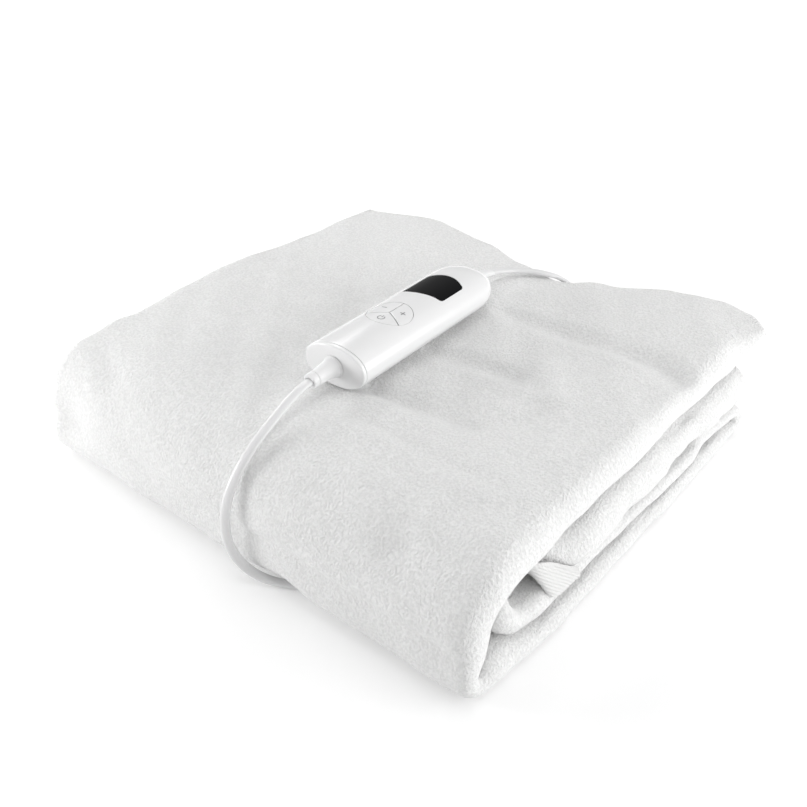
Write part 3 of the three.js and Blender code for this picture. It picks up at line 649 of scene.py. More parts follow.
def pad_faces():
    """The outer and the inner face of the sheet over stations and columns.

    A column lies at the open edge plus its share of the flat width, and round the rim it turns
    with half the loft as its radius. The face is then pressed in, and the other face lies one
    sheet thickness deeper. Near its edges the sheet is drawn thinner by its stitches.
    """
    across, angle, stagger = pad_columns()
    y, z, thick, rim_x, open_x = [stations[:, k, None] for k in range(5)]
    radius = thick / 2
    cos, sin = np.cos(angle)[None], np.sin(angle)[None]
    flat = rim_x - radius - open_x
    x = open_x + stagger + (flat - stagger) * across + radius * cos
    hem_share = 1 - smooth(from_hem / HEM_REACH)[:, None]
    hem_shift = np.interp(x, *soft_table(TOP_HEM_X, TOP_HEM_Y)) - FOLDS[0][0]
    y = y + outward[:, None, 0] * radius * sin + hem_share * hem_shift
    z = z + outward[:, None, 1] * radius * sin
    place = np.stack([x, y, z], axis=-1)
    facing = [cos, outward[:, None, 0] * sin, outward[:, None, 1] * sin]
    facing = np.stack(np.broadcast_arrays(*facing), axis=-1)
    room = radius - SHEET - PLY_GAP
    pressed = np.minimum(room, pressed_in(place, facing[..., 2]) + uneven(place))
    pressed = np.where(angle[None] > UNDER_PLY, pressed, 0.0)
    thickness = SHEET * (1 - EDGE_THINNING * bell(edge_distance(place), EDGE_REACH))
    outer = place - facing * pressed[..., None]
    inner = outer - facing * thickness[..., None]
    return swollen(outer), swollen(inner)


def soft_table(xs, ys):
    """A table with soft steps between its rows, as dense points for a straight interpolation."""
    dense = np.linspace(xs[0], xs[-1], TABLE_POINTS)
    i = np.clip(np.searchsorted(xs, dense, side="right") - 1, 0, len(xs) - 2)
    xs, ys = np.asarray(xs, dtype=float), np.asarray(ys, dtype=float)
    t = (dense - xs[i]) / (xs[i + 1] - xs[i])
    return dense, ys[i] + (ys[i + 1] - ys[i]) * smooth(t)


def edge_distance(place):
    """How far each point of the grid is from the sheet's nearest edge, measured along the grid."""
    down = np.linalg.norm(np.diff(place, axis=0), axis=-1)
    along = np.vstack([np.zeros((1, place.shape[1])), np.cumsum(down, axis=0)])
    side = np.linalg.norm(np.diff(place, axis=1), axis=-1)
    over = np.hstack([np.zeros((place.shape[0], 1)), np.cumsum(side, axis=1)])
    return np.minimum.reduce([along, along[-1:] - along, over, over[:, -1:] - over])


def closed_sheet(name, outer, inner, bulge):
    """One closed solid from two faces. Its cut edges bulge by a row of points between the faces."""
    rim = []
    for column, neighbour in ((-1, -2), (0, 1)):
        middle = (outer[:, column] + inner[:, column]) / 2
        behind = (outer[:, neighbour] + inner[:, neighbour]) / 2
        rim.append((middle + unit(middle - behind) * bulge)[:, None])
    rings = np.concatenate([outer, rim[0], inner[:, ::-1], rim[1]], axis=1)
    ends = []
    for row, neighbour in ((0, 1), (-1, -2)):
        middle = (outer[row] + inner[row]) / 2
        behind = (outer[neighbour] + inner[neighbour]) / 2
        middle = middle + unit(middle - behind) * bulge
        line = np.concatenate([middle, rings[row, outer.shape[1]][None], middle[::-1], rings[row, -1][None]])
        ends.append(line[None])
    rings = np.concatenate([ends[0], rings, ends[1]], axis=0)
    quads = grid_quads(*rings.shape[:2], ring_columns=True)
    return add_mesh(name, rings, quads.tolist(), sharp_over=75.0)


pad_outer, pad_inner = pad_faces()
pad = closed_sheet("fleece_pad", pad_outer, pad_inner, PAD_BULGE)
declare(pad, "bundle", "fleece", "pad")
print("pad triangles:", triangles_in(pad))

# %% [markdown]
# ## The overlocked edges
#
# All four edges of the sheet are overlocked: a thread runs over the edge in a flat spiral, a few
# millimetres deep, and draws the fleece thinner. A particle system or an array could repeat one
# stitch. A spiral is simpler as a formula, because it follows the edge of the grid by itself.

# %% Thread round an edge
STITCH_PITCH = 3.2
STITCH_DEPTH = 5.2
STITCH_OUTSIDE = 0.9
THREAD_RADIUS = 0.24
THREAD_SIDES = 4
POINTS_A_STITCH = 12
# any direction that no edge of the sheet follows
THREAD_HINT = (0.31, 0.52, 0.8)


def thread_rings(line):
    """Rings of points square to a line of thread, turned by one hint for the whole line."""
    ahead = unit(np.gradient(line, axis=0))
    hint = np.broadcast_to(THREAD_HINT, ahead.shape)
    across = unit(hint - (hint * ahead).sum(axis=1, keepdims=True) * ahead)
    up = np.cross(ahead, across)
    cos, sin = once_round(THREAD_SIDES)
    ring = cos[None, :, None] * across[:, None] + sin[None, :, None] * up[:, None]
    return line[:, None] + THREAD_RADIUS * ring


def overlock(edge, inward, facing, thick):
    """A flat spiral round the edge: its angle grows by a full turn a stitch, it reaches in by the stitch
    depth and out past the edge by a thread, and it stands a thread off both faces."""
    run = np.column_stack([edge, inward, facing, thick])
    steps = even_steps(run, STITCH_PITCH / POINTS_A_STITCH)
    edge, inward, facing, thick = steps[:, :3], unit(steps[:, 3:6]), unit(steps[:, 6:9]), steps[:, 9:]
    angle = 2 * np.pi * np.arange(len(edge)) / POINTS_A_STITCH
    cos, sin = np.cos(angle)[:, None], np.sin(angle)[:, None]
    depth = STITCH_DEPTH / 2 - (STITCH_DEPTH / 2 + STITCH_OUTSIDE) * fuller(cos, 0.8)
    height = (thick / 2 + THREAD_RADIUS * 0.7) * fuller(sin, 0.45)
    return edge + inward * depth + facing * height


def edge_run(outer, inner, line):
    """The middle of one edge of the sheet, the way into the cloth, the way the outer face looks, and
    the sheet's thickness there. The line names the edge by its place in the grid."""
    at, inside = line
    middle = (outer[at] + inner[at]) / 2
    further = (outer[inside] + inner[inside]) / 2
    facing = outer[at] - inner[at]
    return middle, unit(further - middle), unit(facing), np.linalg.norm(facing, axis=1)


EDGES = [
    (np.s_[0], np.s_[2]),
    (np.s_[-1], np.s_[-3]),
    (np.s_[:, 0], np.s_[:, 2]),
    (np.s_[:, -1], np.s_[:, -3]),
]


def stitched_edges():
    """One mesh of all four spirals of thread."""
    points, faces, count = [], [], 0
    for line in EDGES:
        rings = thread_rings(overlock(*edge_run(pad_outer, pad_inner, line)))
        quads = grid_quads(*rings.shape[:2], ring_columns=True) + count
        last = count + len(rings) * THREAD_SIDES
        first_face = count + np.arange(THREAD_SIDES)[::-1]
        last_face = last - THREAD_SIDES + np.arange(THREAD_SIDES)
        points.append(rings.reshape(-1, 3))
        faces.append(np.vstack([quads, first_face, last_face]))
        count = last
    faces = np.concatenate(faces).tolist()
    return add_mesh("overlock_thread", np.concatenate(points), faces, sharp_over=60.0, weld=0.0001)


thread = stitched_edges()
declare(thread, "bundle", "fleece")
print("thread triangles:", triangles_in(thread))

# %% [markdown]
# ## The corner strap
#
# A knitted elastic strap comes out of the inner fold, bends over and tucks in under the rim. It is
# a band between two edges. Its ribs run across the bend, so they are a row of low bumps along one
# direction in space, and they stop at the knotted selvage along its upper edge.

# %% The ribbed band
STRAP_THICKNESS = 1.4
# x, y, z of the lower edge, then of the upper edge
STRAP_ROWS = [
    (150, -84.4, 26.8, 148.5, -87.4, 28.2),
    (155.6, -88.2, 27.6, 152.4, -92.4, 30.2),
    (161.6, -92.8, 28.4, 157, -98.6, 33.4),
    (167, -97.5, 29, 161, -104.6, 36.6),
    (172, -101.6, 28.6, 164.8, -111, 46.4),
    (176.4, -101.4, 25, 167.4, -110.8, 48.6),
    (177.7, -97.5, 22.6, 169.6, -106.4, 47.6),
    (177.8, -90.5, 21.8, 171.6, -97.5, 43),
    (177.8, -82.4, 21.4, 174, -88, 36),
    (177.8, -74.4, 21.2, 177, -77, 28.3),
]
STRAP_STEP = 0.45
STRAP_COLUMNS = 72
RIB_PITCH = 1.75
RIB_HEIGHT = 0.6
RIB_WAY = (0.0, 0.645, 0.764)
RIB_FULLNESS = 0.7
SELVAGE_WIDTH = 2.6
SELVAGE_FADE = 1.2
SELVAGE_BUMP = 0.35
SELVAGE_PITCH = 2.2
STRAP_BULGE = 0.4


def strap_faces():
    """Both faces of the band between its two edges, thickened the way it faces, the outer one ribbed."""
    rows = curve_through(STRAP_ROWS, STRAP_STEP)
    low, high = rows[:, None, :3], rows[:, None, 3:]
    share = np.linspace(0.0, 1.0, STRAP_COLUMNS)[None, :, None]
    inner = low + (high - low) * share
    along = np.gradient(inner, axis=0)
    facing = unit(np.cross(along, np.broadcast_to(high - low, along.shape)))
    outer = inner + facing * STRAP_THICKNESS
    wave = np.abs(np.sin(np.pi * (outer @ unit(np.array(RIB_WAY))) / RIB_PITCH)) ** RIB_FULLNESS
    from_edge = np.linalg.norm(high - low, axis=2) * (1 - share[..., 0])
    selvage = 1 - smooth((from_edge - SELVAGE_WIDTH) / SELVAGE_FADE)
    run = travelled(rows[:, 3:])[:, None]
    knots = SELVAGE_BUMP * np.abs(np.sin(np.pi * run / SELVAGE_PITCH))
    outer = outer + facing * (selvage * knots - RIB_HEIGHT * (1 - selvage) * (1 - wave))[..., None]
    return outer, inner


strap_outer, strap_inner = strap_faces()
strap = closed_sheet("ribbed_strap", strap_outer, strap_inner, STRAP_BULGE)
declare(strap, "bundle", "webbing", "corner_strap")
print("strap triangles:", triangles_in(strap))

# %% [markdown]
# ## The control's case
#
# The hand control is a gloss white tube with a nearly elliptical section and a rounded far end.
# The section is a superellipse: an ellipse with a power a little over two, so its shoulders are
# fuller. The case is drawn in its own frame first, then turned and put on the pad.

# %% The case as a solid
CONTROL_PLACE = np.array([-0.9, -5.1, 78.0])
CONTROL_TURN = np.radians(2.5)
CONTROL_LENGTH = 154.0
CONTROL_WIDTH = 47.0
CONTROL_HEIGHT = 28.0
SECTION_POWER = 2.2
FAR_ROUNDING = 27.0
FAR_TIP_SHARE = 0.97
SEAM_HEIGHT = 9.5
GAP = 0.3
CAP_THICKNESS = 3.0
SECTION_POINTS = 160
EDGE_ROUND = 0.5
EDGE_RINGS = 5
STRAIGHT_RINGS = 60
ROUNDING_RINGS = 40


def on_pad(points):
    """Points from the control's own frame to their place on the pad."""
    cos, sin = np.cos(CONTROL_TURN), np.sin(CONTROL_TURN)
    x, y = points[..., 0], points[..., 1]
    turned = np.stack([x * cos - y * sin, x * sin + y * cos, points[..., 2]], axis=-1)
    return turned + CONTROL_PLACE


def case_share(y):
    """How much of the full section is left at y: all of it, then shrinking over the far rounding."""
    into = FAR_TIP_SHARE * np.clip((y - CONTROL_LENGTH / 2 + FAR_ROUNDING) / FAR_ROUNDING, 0.0, 1.0)
    return (1 - into**SECTION_POWER) ** (1 / SECTION_POWER)


def case_rings(y, inset):
    """Rings of the superellipse at each y, drawn in by the inset."""
    cos, sin = once_round(SECTION_POINTS)
    wide, tall = fuller(cos, 2 / SECTION_POWER), fuller(sin, 2 / SECTION_POWER)
    y, inset = np.broadcast_arrays(np.asarray(y, dtype=float), inset)
    share = case_share(y)[:, None]
    x = (CONTROL_WIDTH / 2 * share - inset[:, None]) * wide
    z = CONTROL_HEIGHT / 2 + (CONTROL_HEIGHT / 2 * share - inset[:, None]) * tall
    return np.stack([x, np.broadcast_to(y[:, None], x.shape), z], axis=-1)


def case_top(x, y):
    """The height of the case's upper side over a point of its plan."""
    share = case_share(y)
    inside = np.clip(np.abs(x) / (CONTROL_WIDTH / 2 * share), 0.0, 1.0)
    return CONTROL_HEIGHT / 2 * (1 + share * (1 - inside**SECTION_POWER) ** (1 / SECTION_POWER))


near_end = -CONTROL_LENGTH / 2 + CAP_THICKNESS + GAP
rounding_start = CONTROL_LENGTH / 2 - FAR_ROUNDING
quarter = np.linspace(0.0, np.pi / 2, EDGE_RINGS)
rounding = np.sin(np.linspace(0.0, np.pi / 2, ROUNDING_RINGS)[1:])
straight_y = np.linspace(near_end + EDGE_ROUND, rounding_start, STRAIGHT_RINGS)[1:]
case_y = np.concatenate([
    near_end + EDGE_ROUND * (1 - np.cos(quarter)),
    straight_y,
    rounding_start + FAR_ROUNDING * rounding,
])
case_inset = np.zeros(len(case_y))
case_inset[: len(quarter)] = EDGE_ROUND * (1 - np.sin(quarter))
print("case rings:", len(case_y))

# %% [markdown]
# The pockets for the display and the keys are cut out of the case with closed prisms, as a mould
# would leave them out. A boolean modifier does that cleanly on a dense mesh, and its result is kept
# as the mesh. The cutters are thrown away.

# %% Cutting with prisms
SHARP_ON_CASE = 32.0


def on_circle(middle, radius, angle):
    """The points at the angles of a circle in plan."""
    return np.stack([middle[0] + radius * np.cos(angle), middle[1] + radius * np.sin(angle)], axis=-1)


def bezier(points, count):
    """Points of a curve with one or two handles. Its last point is left out, as the next starts there."""
    points = np.asarray(points, dtype=float)
    t = np.linspace(0.0, 1.0, count, endpoint=False)[:, None]
    if len(points) == 3:
        weights = np.hstack([(1 - t) ** 2, 2 * t * (1 - t), t**2])
    else:
        weights = np.hstack([(1 - t) ** 3, 3 * t * (1 - t) ** 2, 3 * t**2 * (1 - t), t**3])
    return weights @ points


def prism(name, outline, low, high):
    """A closed prism over an outline in plan."""
    plan = np.asarray(outline)
    rings = [np.column_stack([plan, np.full(len(plan), z)]) for z in (low, high)]
    return closed_tube(name, np.array(rings))


def cut(piece, *cutters):
    """Cuts the cutters out of the piece and throws them away."""
    for cutter in cutters:
        modifier = piece.modifiers.new("cut", "BOOLEAN")
        modifier.object = cutter
        modifier.operation = "DIFFERENCE"
        modifier.solver = "EXACT"
    depsgraph = bpy.context.evaluated_depsgraph_get()
    result = bpy.data.meshes.new_from_object(piece.evaluated_get(depsgraph))
    old = piece.data
    piece.modifiers.clear()
    piece.data = result
    bpy.data.meshes.remove(old)
    for cutter in cutters:
        bpy.data.objects.remove(cutter)
    return piece


def move_onto_pad(piece):
    """Takes the mesh from the control's own frame to its place, and smooths all but the sharp edges."""
    mesh = piece.data
    points = np.empty(len(mesh.vertices) * 3)
    mesh.vertices.foreach_get("co", points)
    mesh.vertices.foreach_set("co", (on_pad(points.reshape(-1, 3) / MM) * MM).ravel())
    smooth_all_but_sharp(mesh, SHARP_ON_CASE)
    mesh.update()
    return piece


print("cutting helpers ready")

# %% [markdown]
# The display's outline has a slanting near edge, two straight sides and a bowed far edge, all with
# round corners. The keys are three thirds of a disc.

# %% The case's two halves
WINDOW = {"left": -13.8, "right": 15.2, "near_left": 9.0, "near_right": 13.5, "side": 39.5, "far": 44.0}
WINDOW_CORNER = 3.0
WINDOW_FLOOR = 21.7
# how far the near edge's left end is raised and its right handle lowered, and how far the far edge's
# ends lie past the straight sides
NEAR_EDGE_RISE = 0.4
NEAR_EDGE_DROP = 0.6
FAR_EDGE_RISE = 0.9
KEY_CENTRE = (0.0, -22.0)
KEY_RADIUS = 15.0
KEY_CLEARANCE = 0.35
KEY_POCKET_FLOOR = 20.4
POCKET_POINTS = 96
# the cutters reach past the case on all sides
FAR_OUT = 200.0
UNDER_CASE = -5.0
OVER_TOP = 40.0
OVER_CASE = 60.0


def window_outline(inset):
    """The display seen from above, drawn in by the inset on every side."""
    left, right = WINDOW["left"] + inset, WINDOW["right"] - inset
    near_left, near_right = WINDOW["near_left"] + inset, WINDOW["near_right"] + inset
    side, r = WINDOW["side"] - inset, WINDOW_CORNER
    start, shoulder = near_left + NEAR_EDGE_RISE, side + FAR_EDGE_RISE
    bow = 2 * (WINDOW["far"] - inset) - side - FAR_EDGE_RISE
    handles = [(left * 0.35, near_left), (right * 0.25, near_right - NEAR_EDGE_DROP)]
    return np.vstack([
        bezier([(left, start), *handles, (right - r, near_right)], 20),
        bezier([(right - r, near_right), (right, near_right), (right, near_right + r)], 8),
        np.linspace((right, near_right + r), (right, side - r), 12, endpoint=False),
        bezier([(right, side - r), (right, side), (right - r, shoulder)], 8),
        bezier([(right - r, shoulder), ((left + right) / 2, bow), (left + r, shoulder)], 20),
        bezier([(left + r, shoulder), (left, side), (left, side - r)], 8),
        np.linspace((left, side - r), (left, start), 14, endpoint=False),
    ])


def square(half):
    """A square of points in plan."""
    return np.array([(-half, -half), (half, -half), (half, half), (-half, half)])


pocket_angle = np.linspace(0.0, 2.0 * np.pi, POCKET_POINTS, endpoint=False)
key_pocket = on_circle(KEY_CENTRE, KEY_RADIUS + KEY_CLEARANCE, pocket_angle)
case_top_half = closed_tube("case_top", case_rings(case_y, case_inset), SHARP_ON_CASE)
cut(
    case_top_half,
    prism("below", square(FAR_OUT), UNDER_CASE, SEAM_HEIGHT + GAP / 2),
    prism("display_pocket", window_outline(0.0), WINDOW_FLOOR, OVER_TOP),
    prism("key_pocket", key_pocket, KEY_POCKET_FLOOR, OVER_TOP),
)
case_base_half = closed_tube("case_base", case_rings(case_y, case_inset), SHARP_ON_CASE)
cut(case_base_half, prism("above", square(FAR_OUT), SEAM_HEIGHT - GAP / 2, OVER_CASE))
declare(move_onto_pad(case_top_half), "bundle", "case", "control_top")
declare(move_onto_pad(case_base_half), "bundle", "case", "control_base")
print("case triangles:", triangles_in(case_top_half), triangles_in(case_base_half))

# %% [markdown]
# ## The display and the keys
#
# Each lies in its pocket with its top on the case's own curve. One helper makes all four: rings of
# points run from the outline to its middle, each lifted to the case's height, with a small round
# edge, and the sides go straight down.

# %% A cap from an outline
CAP_EDGE = 0.25
CAP_EDGE_RINGS = 4
CAP_RINGS = 16
# how small the innermost ring is, as a share of the outline
CAP_CENTRE = 0.02
KEY_BOTTOM = 21.6
# half of the angle that a key takes up, in degrees
KEY_HALF = 60
KEY_ARC_POINTS = 40
KEY_SIDE_POINTS = 12
# the middle angle of each key, in degrees
KEYS = {"power": 270, "plus": 30, "minus": 150}


def on_case(plan, above):
    """Points in plan laid at a height above the case's upper side."""
    return np.column_stack([plan, case_top(plan[:, 0], plan[:, 1]) + above])


def cap(name, outline, middle, bottom):
    """A closed piece over an outline: a flat bottom, straight sides, a quarter-round edge, and a top
    that follows the case. The rings shrink towards the middle."""
    inwards = unit(middle - outline)
    rings = []
    for share in (CAP_CENTRE, 1):
        rings.append(np.column_stack([middle + (outline - middle) * share, np.full(len(outline), bottom)]))
    for angle in np.linspace(0.0, np.pi / 2, CAP_EDGE_RINGS):
        edge = outline + inwards * CAP_EDGE * (1 - np.cos(angle))
        rings.append(on_case(edge, -CAP_EDGE * (1 - np.sin(angle))))
    inner = outline + inwards * CAP_EDGE
    for share in np.linspace(1.0, CAP_CENTRE, CAP_RINGS)[1:]:
        rings.append(on_case(middle + (inner - middle) * share, 0.0))
    return move_onto_pad(closed_tube(name, np.array(rings)))


def key_outline(middle):
    """A third of a disc about the key's middle angle, its straight sides drawn back by the clearance."""
    turn = np.arcsin(KEY_CLEARANCE / KEY_RADIUS)
    start, stop = np.radians(middle - KEY_HALF) + turn, np.radians(middle + KEY_HALF) - turn
    apex = KEY_CLEARANCE / np.sin(np.radians(KEY_HALF))
    tip = on_circle(KEY_CENTRE, apex, np.radians([middle]))
    arc = on_circle(KEY_CENTRE, KEY_RADIUS, np.linspace(start, stop, KEY_ARC_POINTS))
    side = np.linspace(0.0, 1.0, KEY_SIDE_POINTS, endpoint=False)[1:, None]
    return np.vstack([tip, tip + (arc[0] - tip) * side, arc, arc[-1] + (tip - arc[-1]) * side])


outline = window_outline(GAP)
box_middle = (outline.min(axis=0) + outline.max(axis=0)) / 2
pane = cap("display_pane", outline, box_middle, WINDOW_FLOOR + GAP)
declare(pane, "bundle", "window", "display_window")

key_pieces = {}
for body, middle in KEYS.items():
    outline = key_outline(middle)
    key_pieces[body] = cap(body + "_key", outline, outline.mean(axis=0), KEY_BOTTOM)
    declare(key_pieces[body], body, "keys", "key_" + body)
print("pane and key triangles:", triangles_in(pane), [triangles_in(key) for key in key_pieces.values()])

# %% [markdown]
# Each key carries a small generic mark: a ring with a bar for on and off, a plus and a minus. A
# mark is a thin stroke that lies on the key and moves with it. A stroke is a band between two
# lines, drawn off its middle line by half its width.

# %% Marks on the keys
MARK_WIDTH = 0.7
MARK_HEIGHT = 0.06
MARK_SUNK = -0.05
MARK_DISTANCE = 8.6
RING_RADIUS = 2.3
RING_OPENING = 0.6
RING_POINTS = 40
RING_BAR = 2.4
RING_BAR_UP = 1.7
SIGN_BAR = 4.0
BAR_POINTS = 8


def stroke(name, line):
    """A flat band of the mark's width along a line in plan, laid a little above the case's curve."""
    ahead = unit(np.gradient(line, axis=0))
    side = np.stack([-ahead[:, 1], ahead[:, 0]], axis=1) * MARK_WIDTH / 2
    left, right = line - side, line + side
    corners = [(left, MARK_SUNK), (right, MARK_SUNK), (right, MARK_HEIGHT), (left, MARK_HEIGHT)]
    rings = [on_case(plan, above) for plan, above in corners]
    return move_onto_pad(closed_tube(name, np.stack(rings, axis=1)))


def bar(middle, length, turn):
    """A straight line of points through the middle."""
    way = np.array([np.cos(turn), np.sin(turn)]) * length / 2
    return np.linspace(middle - way, middle + way, BAR_POINTS)


middles = {body: on_circle(KEY_CENTRE, MARK_DISTANCE, np.radians(angle)) for body, angle in KEYS.items()}
# an arc round the middle of its key, open towards the far end
ring_angle = np.pi / 2 + np.linspace(RING_OPENING, 2 * np.pi - RING_OPENING, RING_POINTS)
ring_bar_middle = middles["power"] + np.array([0, RING_BAR_UP])
marks = {
    "power": [
        on_circle(middles["power"], RING_RADIUS, ring_angle),
        bar(ring_bar_middle, RING_BAR, np.pi / 2),
    ],
    "plus": [bar(middles["plus"], SIGN_BAR, 0.0), bar(middles["plus"], SIGN_BAR, np.pi / 2)],
    "minus": [bar(middles["minus"], SIGN_BAR, 0.0)],
}
mark_pieces = []
for body, lines in marks.items():
    for number, line in enumerate(lines):
        mark = stroke(f"{body}_mark_{number}", line)
        declare(mark, body, "keys")
        mark_pieces.append(mark)
print("marks:", len(mark_pieces))

# %% [markdown]
# ## The end cap and the strain reliefs
#
# A thin cap with a rounded rim closes the near end. The near strain relief is a row of ovals about
# the lead: round and stepped at first, and at its end its bore closes round the flat lead.

# %% The near cap and its strain relief
CAP_ROUND = 1.3
CAP_ROUND_RINGS = 8
CAP_BACK_EDGE = 0.25
cap_face = -CONTROL_LENGTH / 2
cap_back = cap_face + CAP_THICKNESS
cap_quarter = np.linspace(0.0, np.pi / 2, CAP_ROUND_RINGS)
cap_front = cap_face + CAP_ROUND * (1 - np.cos(cap_quarter))
cap_y = np.concatenate([cap_front, [cap_back - CAP_BACK_EDGE, cap_back]])
cap_inset = np.concatenate([CAP_ROUND * (1 - np.sin(cap_quarter)), [0.0, CAP_BACK_EDGE]])
end_cap = move_onto_pad(closed_tube("end_cap", case_rings(cap_y, cap_inset), SHARP_ON_CASE))
declare(end_cap, "bundle", "case", "near_cap")

RELIEF_POINTS = 96
# how far out along the lead, half the width, half the height
NEAR_RELIEF = [
    (0.0, 7.3, 7.3),
    (0.7, 7.3, 7.3),
    (1.1, 7.05, 7.05),
    (1.3, 6.7, 6.7),
    (2.2, 6.5, 6.5),
    (5.0, 6.05, 6.05),
    (8.0, 5.65, 5.65),
    (11.5, 5.3, 5.3),
    (14.5, 5.1, 5.1),
    (17.0, 4.98, 4.98),
    (17.5, 4.6, 4.6),
    (17.7, 4.45, 4.45),
    (17.9, 4.75, 4.75),
    (18.2, 4.95, 4.95),
    (20.0, 4.9, 4.9),
    (21.3, 4.8, 4.8),
    (21.8, 4.55, 4.5),
    (22.0, 4.1, 3.8),
    (21.9, 3.5, 2.6),
    (21.2, 3.2, 1.85),
    (20.6, 3.15, 1.75),
]


def relief_rings(profile):
    """Rings round the lead's exit, out along -Y: ovals of each row's half width and half height."""
    cos, sin = once_round(RELIEF_POINTS)
    along, wide, tall = [np.array(column)[:, None] for column in zip(*profile)]
    x = wide * cos
    z = CONTROL_HEIGHT / 2 + tall * sin
    y = np.broadcast_to(-CONTROL_LENGTH / 2 - GAP - along, x.shape)
    return np.stack([x, y, z], axis=-1)


near_relief = move_onto_pad(closed_tube("near_sleeve", relief_rings(NEAR_RELIEF)))
declare(near_relief, "bundle", "sleeves", "near_relief")
print("cap and near sleeve:", triangles_in(end_cap), triangles_in(near_relief))

# %% [markdown]
# The far strain relief is a flat sleeve of fuller ovals. It narrows to the lead and droops with the
# lead's weight.

# %% The far strain relief
# share of the length, width, thickness, drop
FAR_SLEEVE = [
    (0.0, 9.4, 5.6, 0.0),
    (0.02, 10.0, 6.2, 0.0),
    (0.18, 9.55, 5.85, 0.2),
    (0.36, 8.9, 5.45, 0.55),
    (0.55, 8.3, 5.0, 1.2),
    (0.74, 7.8, 4.7, 2.1),
    (0.9, 7.5, 4.5, 3.1),
    (0.97, 7.3, 4.35, 3.55),
    (1.0, 6.8, 3.95, 3.7),
    (1.0, 6.4, 3.6, 3.7),
    (0.93, 6.4, 3.6, 3.3),
]
FAR_SLEEVE_LENGTH = 20.0
SLEEVE_FULLNESS = 0.85
SLEEVE_POINTS = 64


def sleeve_rings():
    """Rings of full ovals along +Y from the case's far tip, which drop with the lead's weight."""
    share, width, thick, drop = [np.array(column)[:, None] for column in zip(*FAR_SLEEVE)]
    cos, sin = once_round(SLEEVE_POINTS)
    x = width / 2 * fuller(cos, SLEEVE_FULLNESS)
    z = CONTROL_HEIGHT / 2 - drop + thick / 2 * fuller(sin, SLEEVE_FULLNESS)
    y = np.broadcast_to(CONTROL_LENGTH / 2 + GAP + share * FAR_SLEEVE_LENGTH, x.shape)
    return np.stack([x, y, z], axis=-1)


far_relief = move_onto_pad(closed_tube("far_sleeve", sleeve_rings()))
declare(far_relief, "bundle", "sleeves", "far_relief")
print("far sleeve:", triangles_in(far_relief))

# %% [markdown]
# ## The plug
#
# The plug lies on the surface behind the pad, with its lead end towards the coil. Its body is a
# flat shell, narrow at the lead and full at the pins, with finger ribs. It is lofted from full
# ovals whose width and thickness come from a short table.

# %% The plug's body and pins
# how far along from the lead end, width, thickness
PLUG_BODY = [
    (0.0, 7.0, 7.0),
    (0.8, 7.6, 7.6),
    (6.0, 8.2, 8.2),
    (12.0, 9.0, 9.0),
    (19.0, 10.0, 9.8),
    (21.5, 11.5, 11.0),
    (25.0, 13.6, 12.2),
    (30.0, 17.8, 12.8),
    (35.0, 21.6, 13.0),
    (40.0, 23.6, 13.0),
    (46.0, 24.0, 13.0),
    (54.6, 24.0, 13.0),
    (55.6, 23.2, 12.4),
    (56.0, 21.6, 11.2),
]
PLUG_POINTS = 72
# the powers of the ovals across and up
PLUG_FULLNESS = (0.5, 0.6)
GRIP_FROM = 30.0
GRIP_TO = 50.0
GRIP_STEP = 0.3
GRIP_PITCH = 2.4
GRIP_DEPTH = 0.5
GRIP_FADE = 1.5


def plug_rings():
    """Full ovals along -X from the neck. Between the grip's two ends soft ribs are pressed in."""
    table = np.array(PLUG_BODY)
    along = np.unique(np.concatenate([table[:, 0], np.arange(GRIP_FROM, GRIP_TO, GRIP_STEP)]))
    width = np.interp(along, table[:, 0], table[:, 1])[:, None]
    thick = np.interp(along, table[:, 0], table[:, 2])[:, None]
    inside = smooth((along - GRIP_FROM) / GRIP_FADE) * smooth((GRIP_TO - along) / GRIP_FADE)
    rib = GRIP_DEPTH * inside * (0.5 - 0.5 * np.cos(2 * np.pi * (along - GRIP_FROM) / GRIP_PITCH))
    cos, sin = once_round(PLUG_POINTS)
    y = (width / 2 - rib[:, None]) * fuller(cos, PLUG_FULLNESS[0])
    z = thick / 2 * fuller(sin, PLUG_FULLNESS[1])
    x = np.broadcast_to(-along[:, None], y.shape)
    return np.stack([x, y, z], axis=-1) + np.array(PLUG_NECK)


plug_body = closed_tube("plug_shell", plug_rings(), sharp_over=50.0)
declare(plug_body, "bundle", "cord", "plug_body")

# how far along from the pin's foot, radius
PIN_PROFILE = [(-2.0, 2.0), (9.0, 2.0), (9.05, 1.9), (17.6, 1.9), (18.5, 1.6), (19.0, 1.0)]
PIN_FOOT = 56.3
PIN_SPACING = 18.6
PIN_POINTS = 40


def pin_rings(side):
    """Round rings along -X, half the spacing to one side of the plug's middle."""
    along, radius = [np.array(column)[:, None] for column in zip(*PIN_PROFILE)]
    cos, sin = once_round(PIN_POINTS)
    y = side * PIN_SPACING / 2 + radius * cos
    z = radius * sin
    x = np.broadcast_to(-PIN_FOOT - along, y.shape)
    return np.stack([x, y, z], axis=-1) + np.array(PLUG_NECK)


pins = []
for side, name in ((-1, "left"), (1, "right")):
    pin = closed_tube("round_pin_" + name, pin_rings(side), sharp_over=35.0)
    declare(pin, "bundle", "pins", "plug_pin_" + name)
    pins.append(pin)

print("plug triangles:", triangles_in(plug_body), "pins:", [triangles_in(pin) for pin in pins])

# %% [markdown]
# ## Materials
#
# Every finish is made of nodes on the piece's own coordinates, so it stays with the piece from all
# sides. A small helper builds the shader, and each material adds its own colour change, roughness
# and bump.

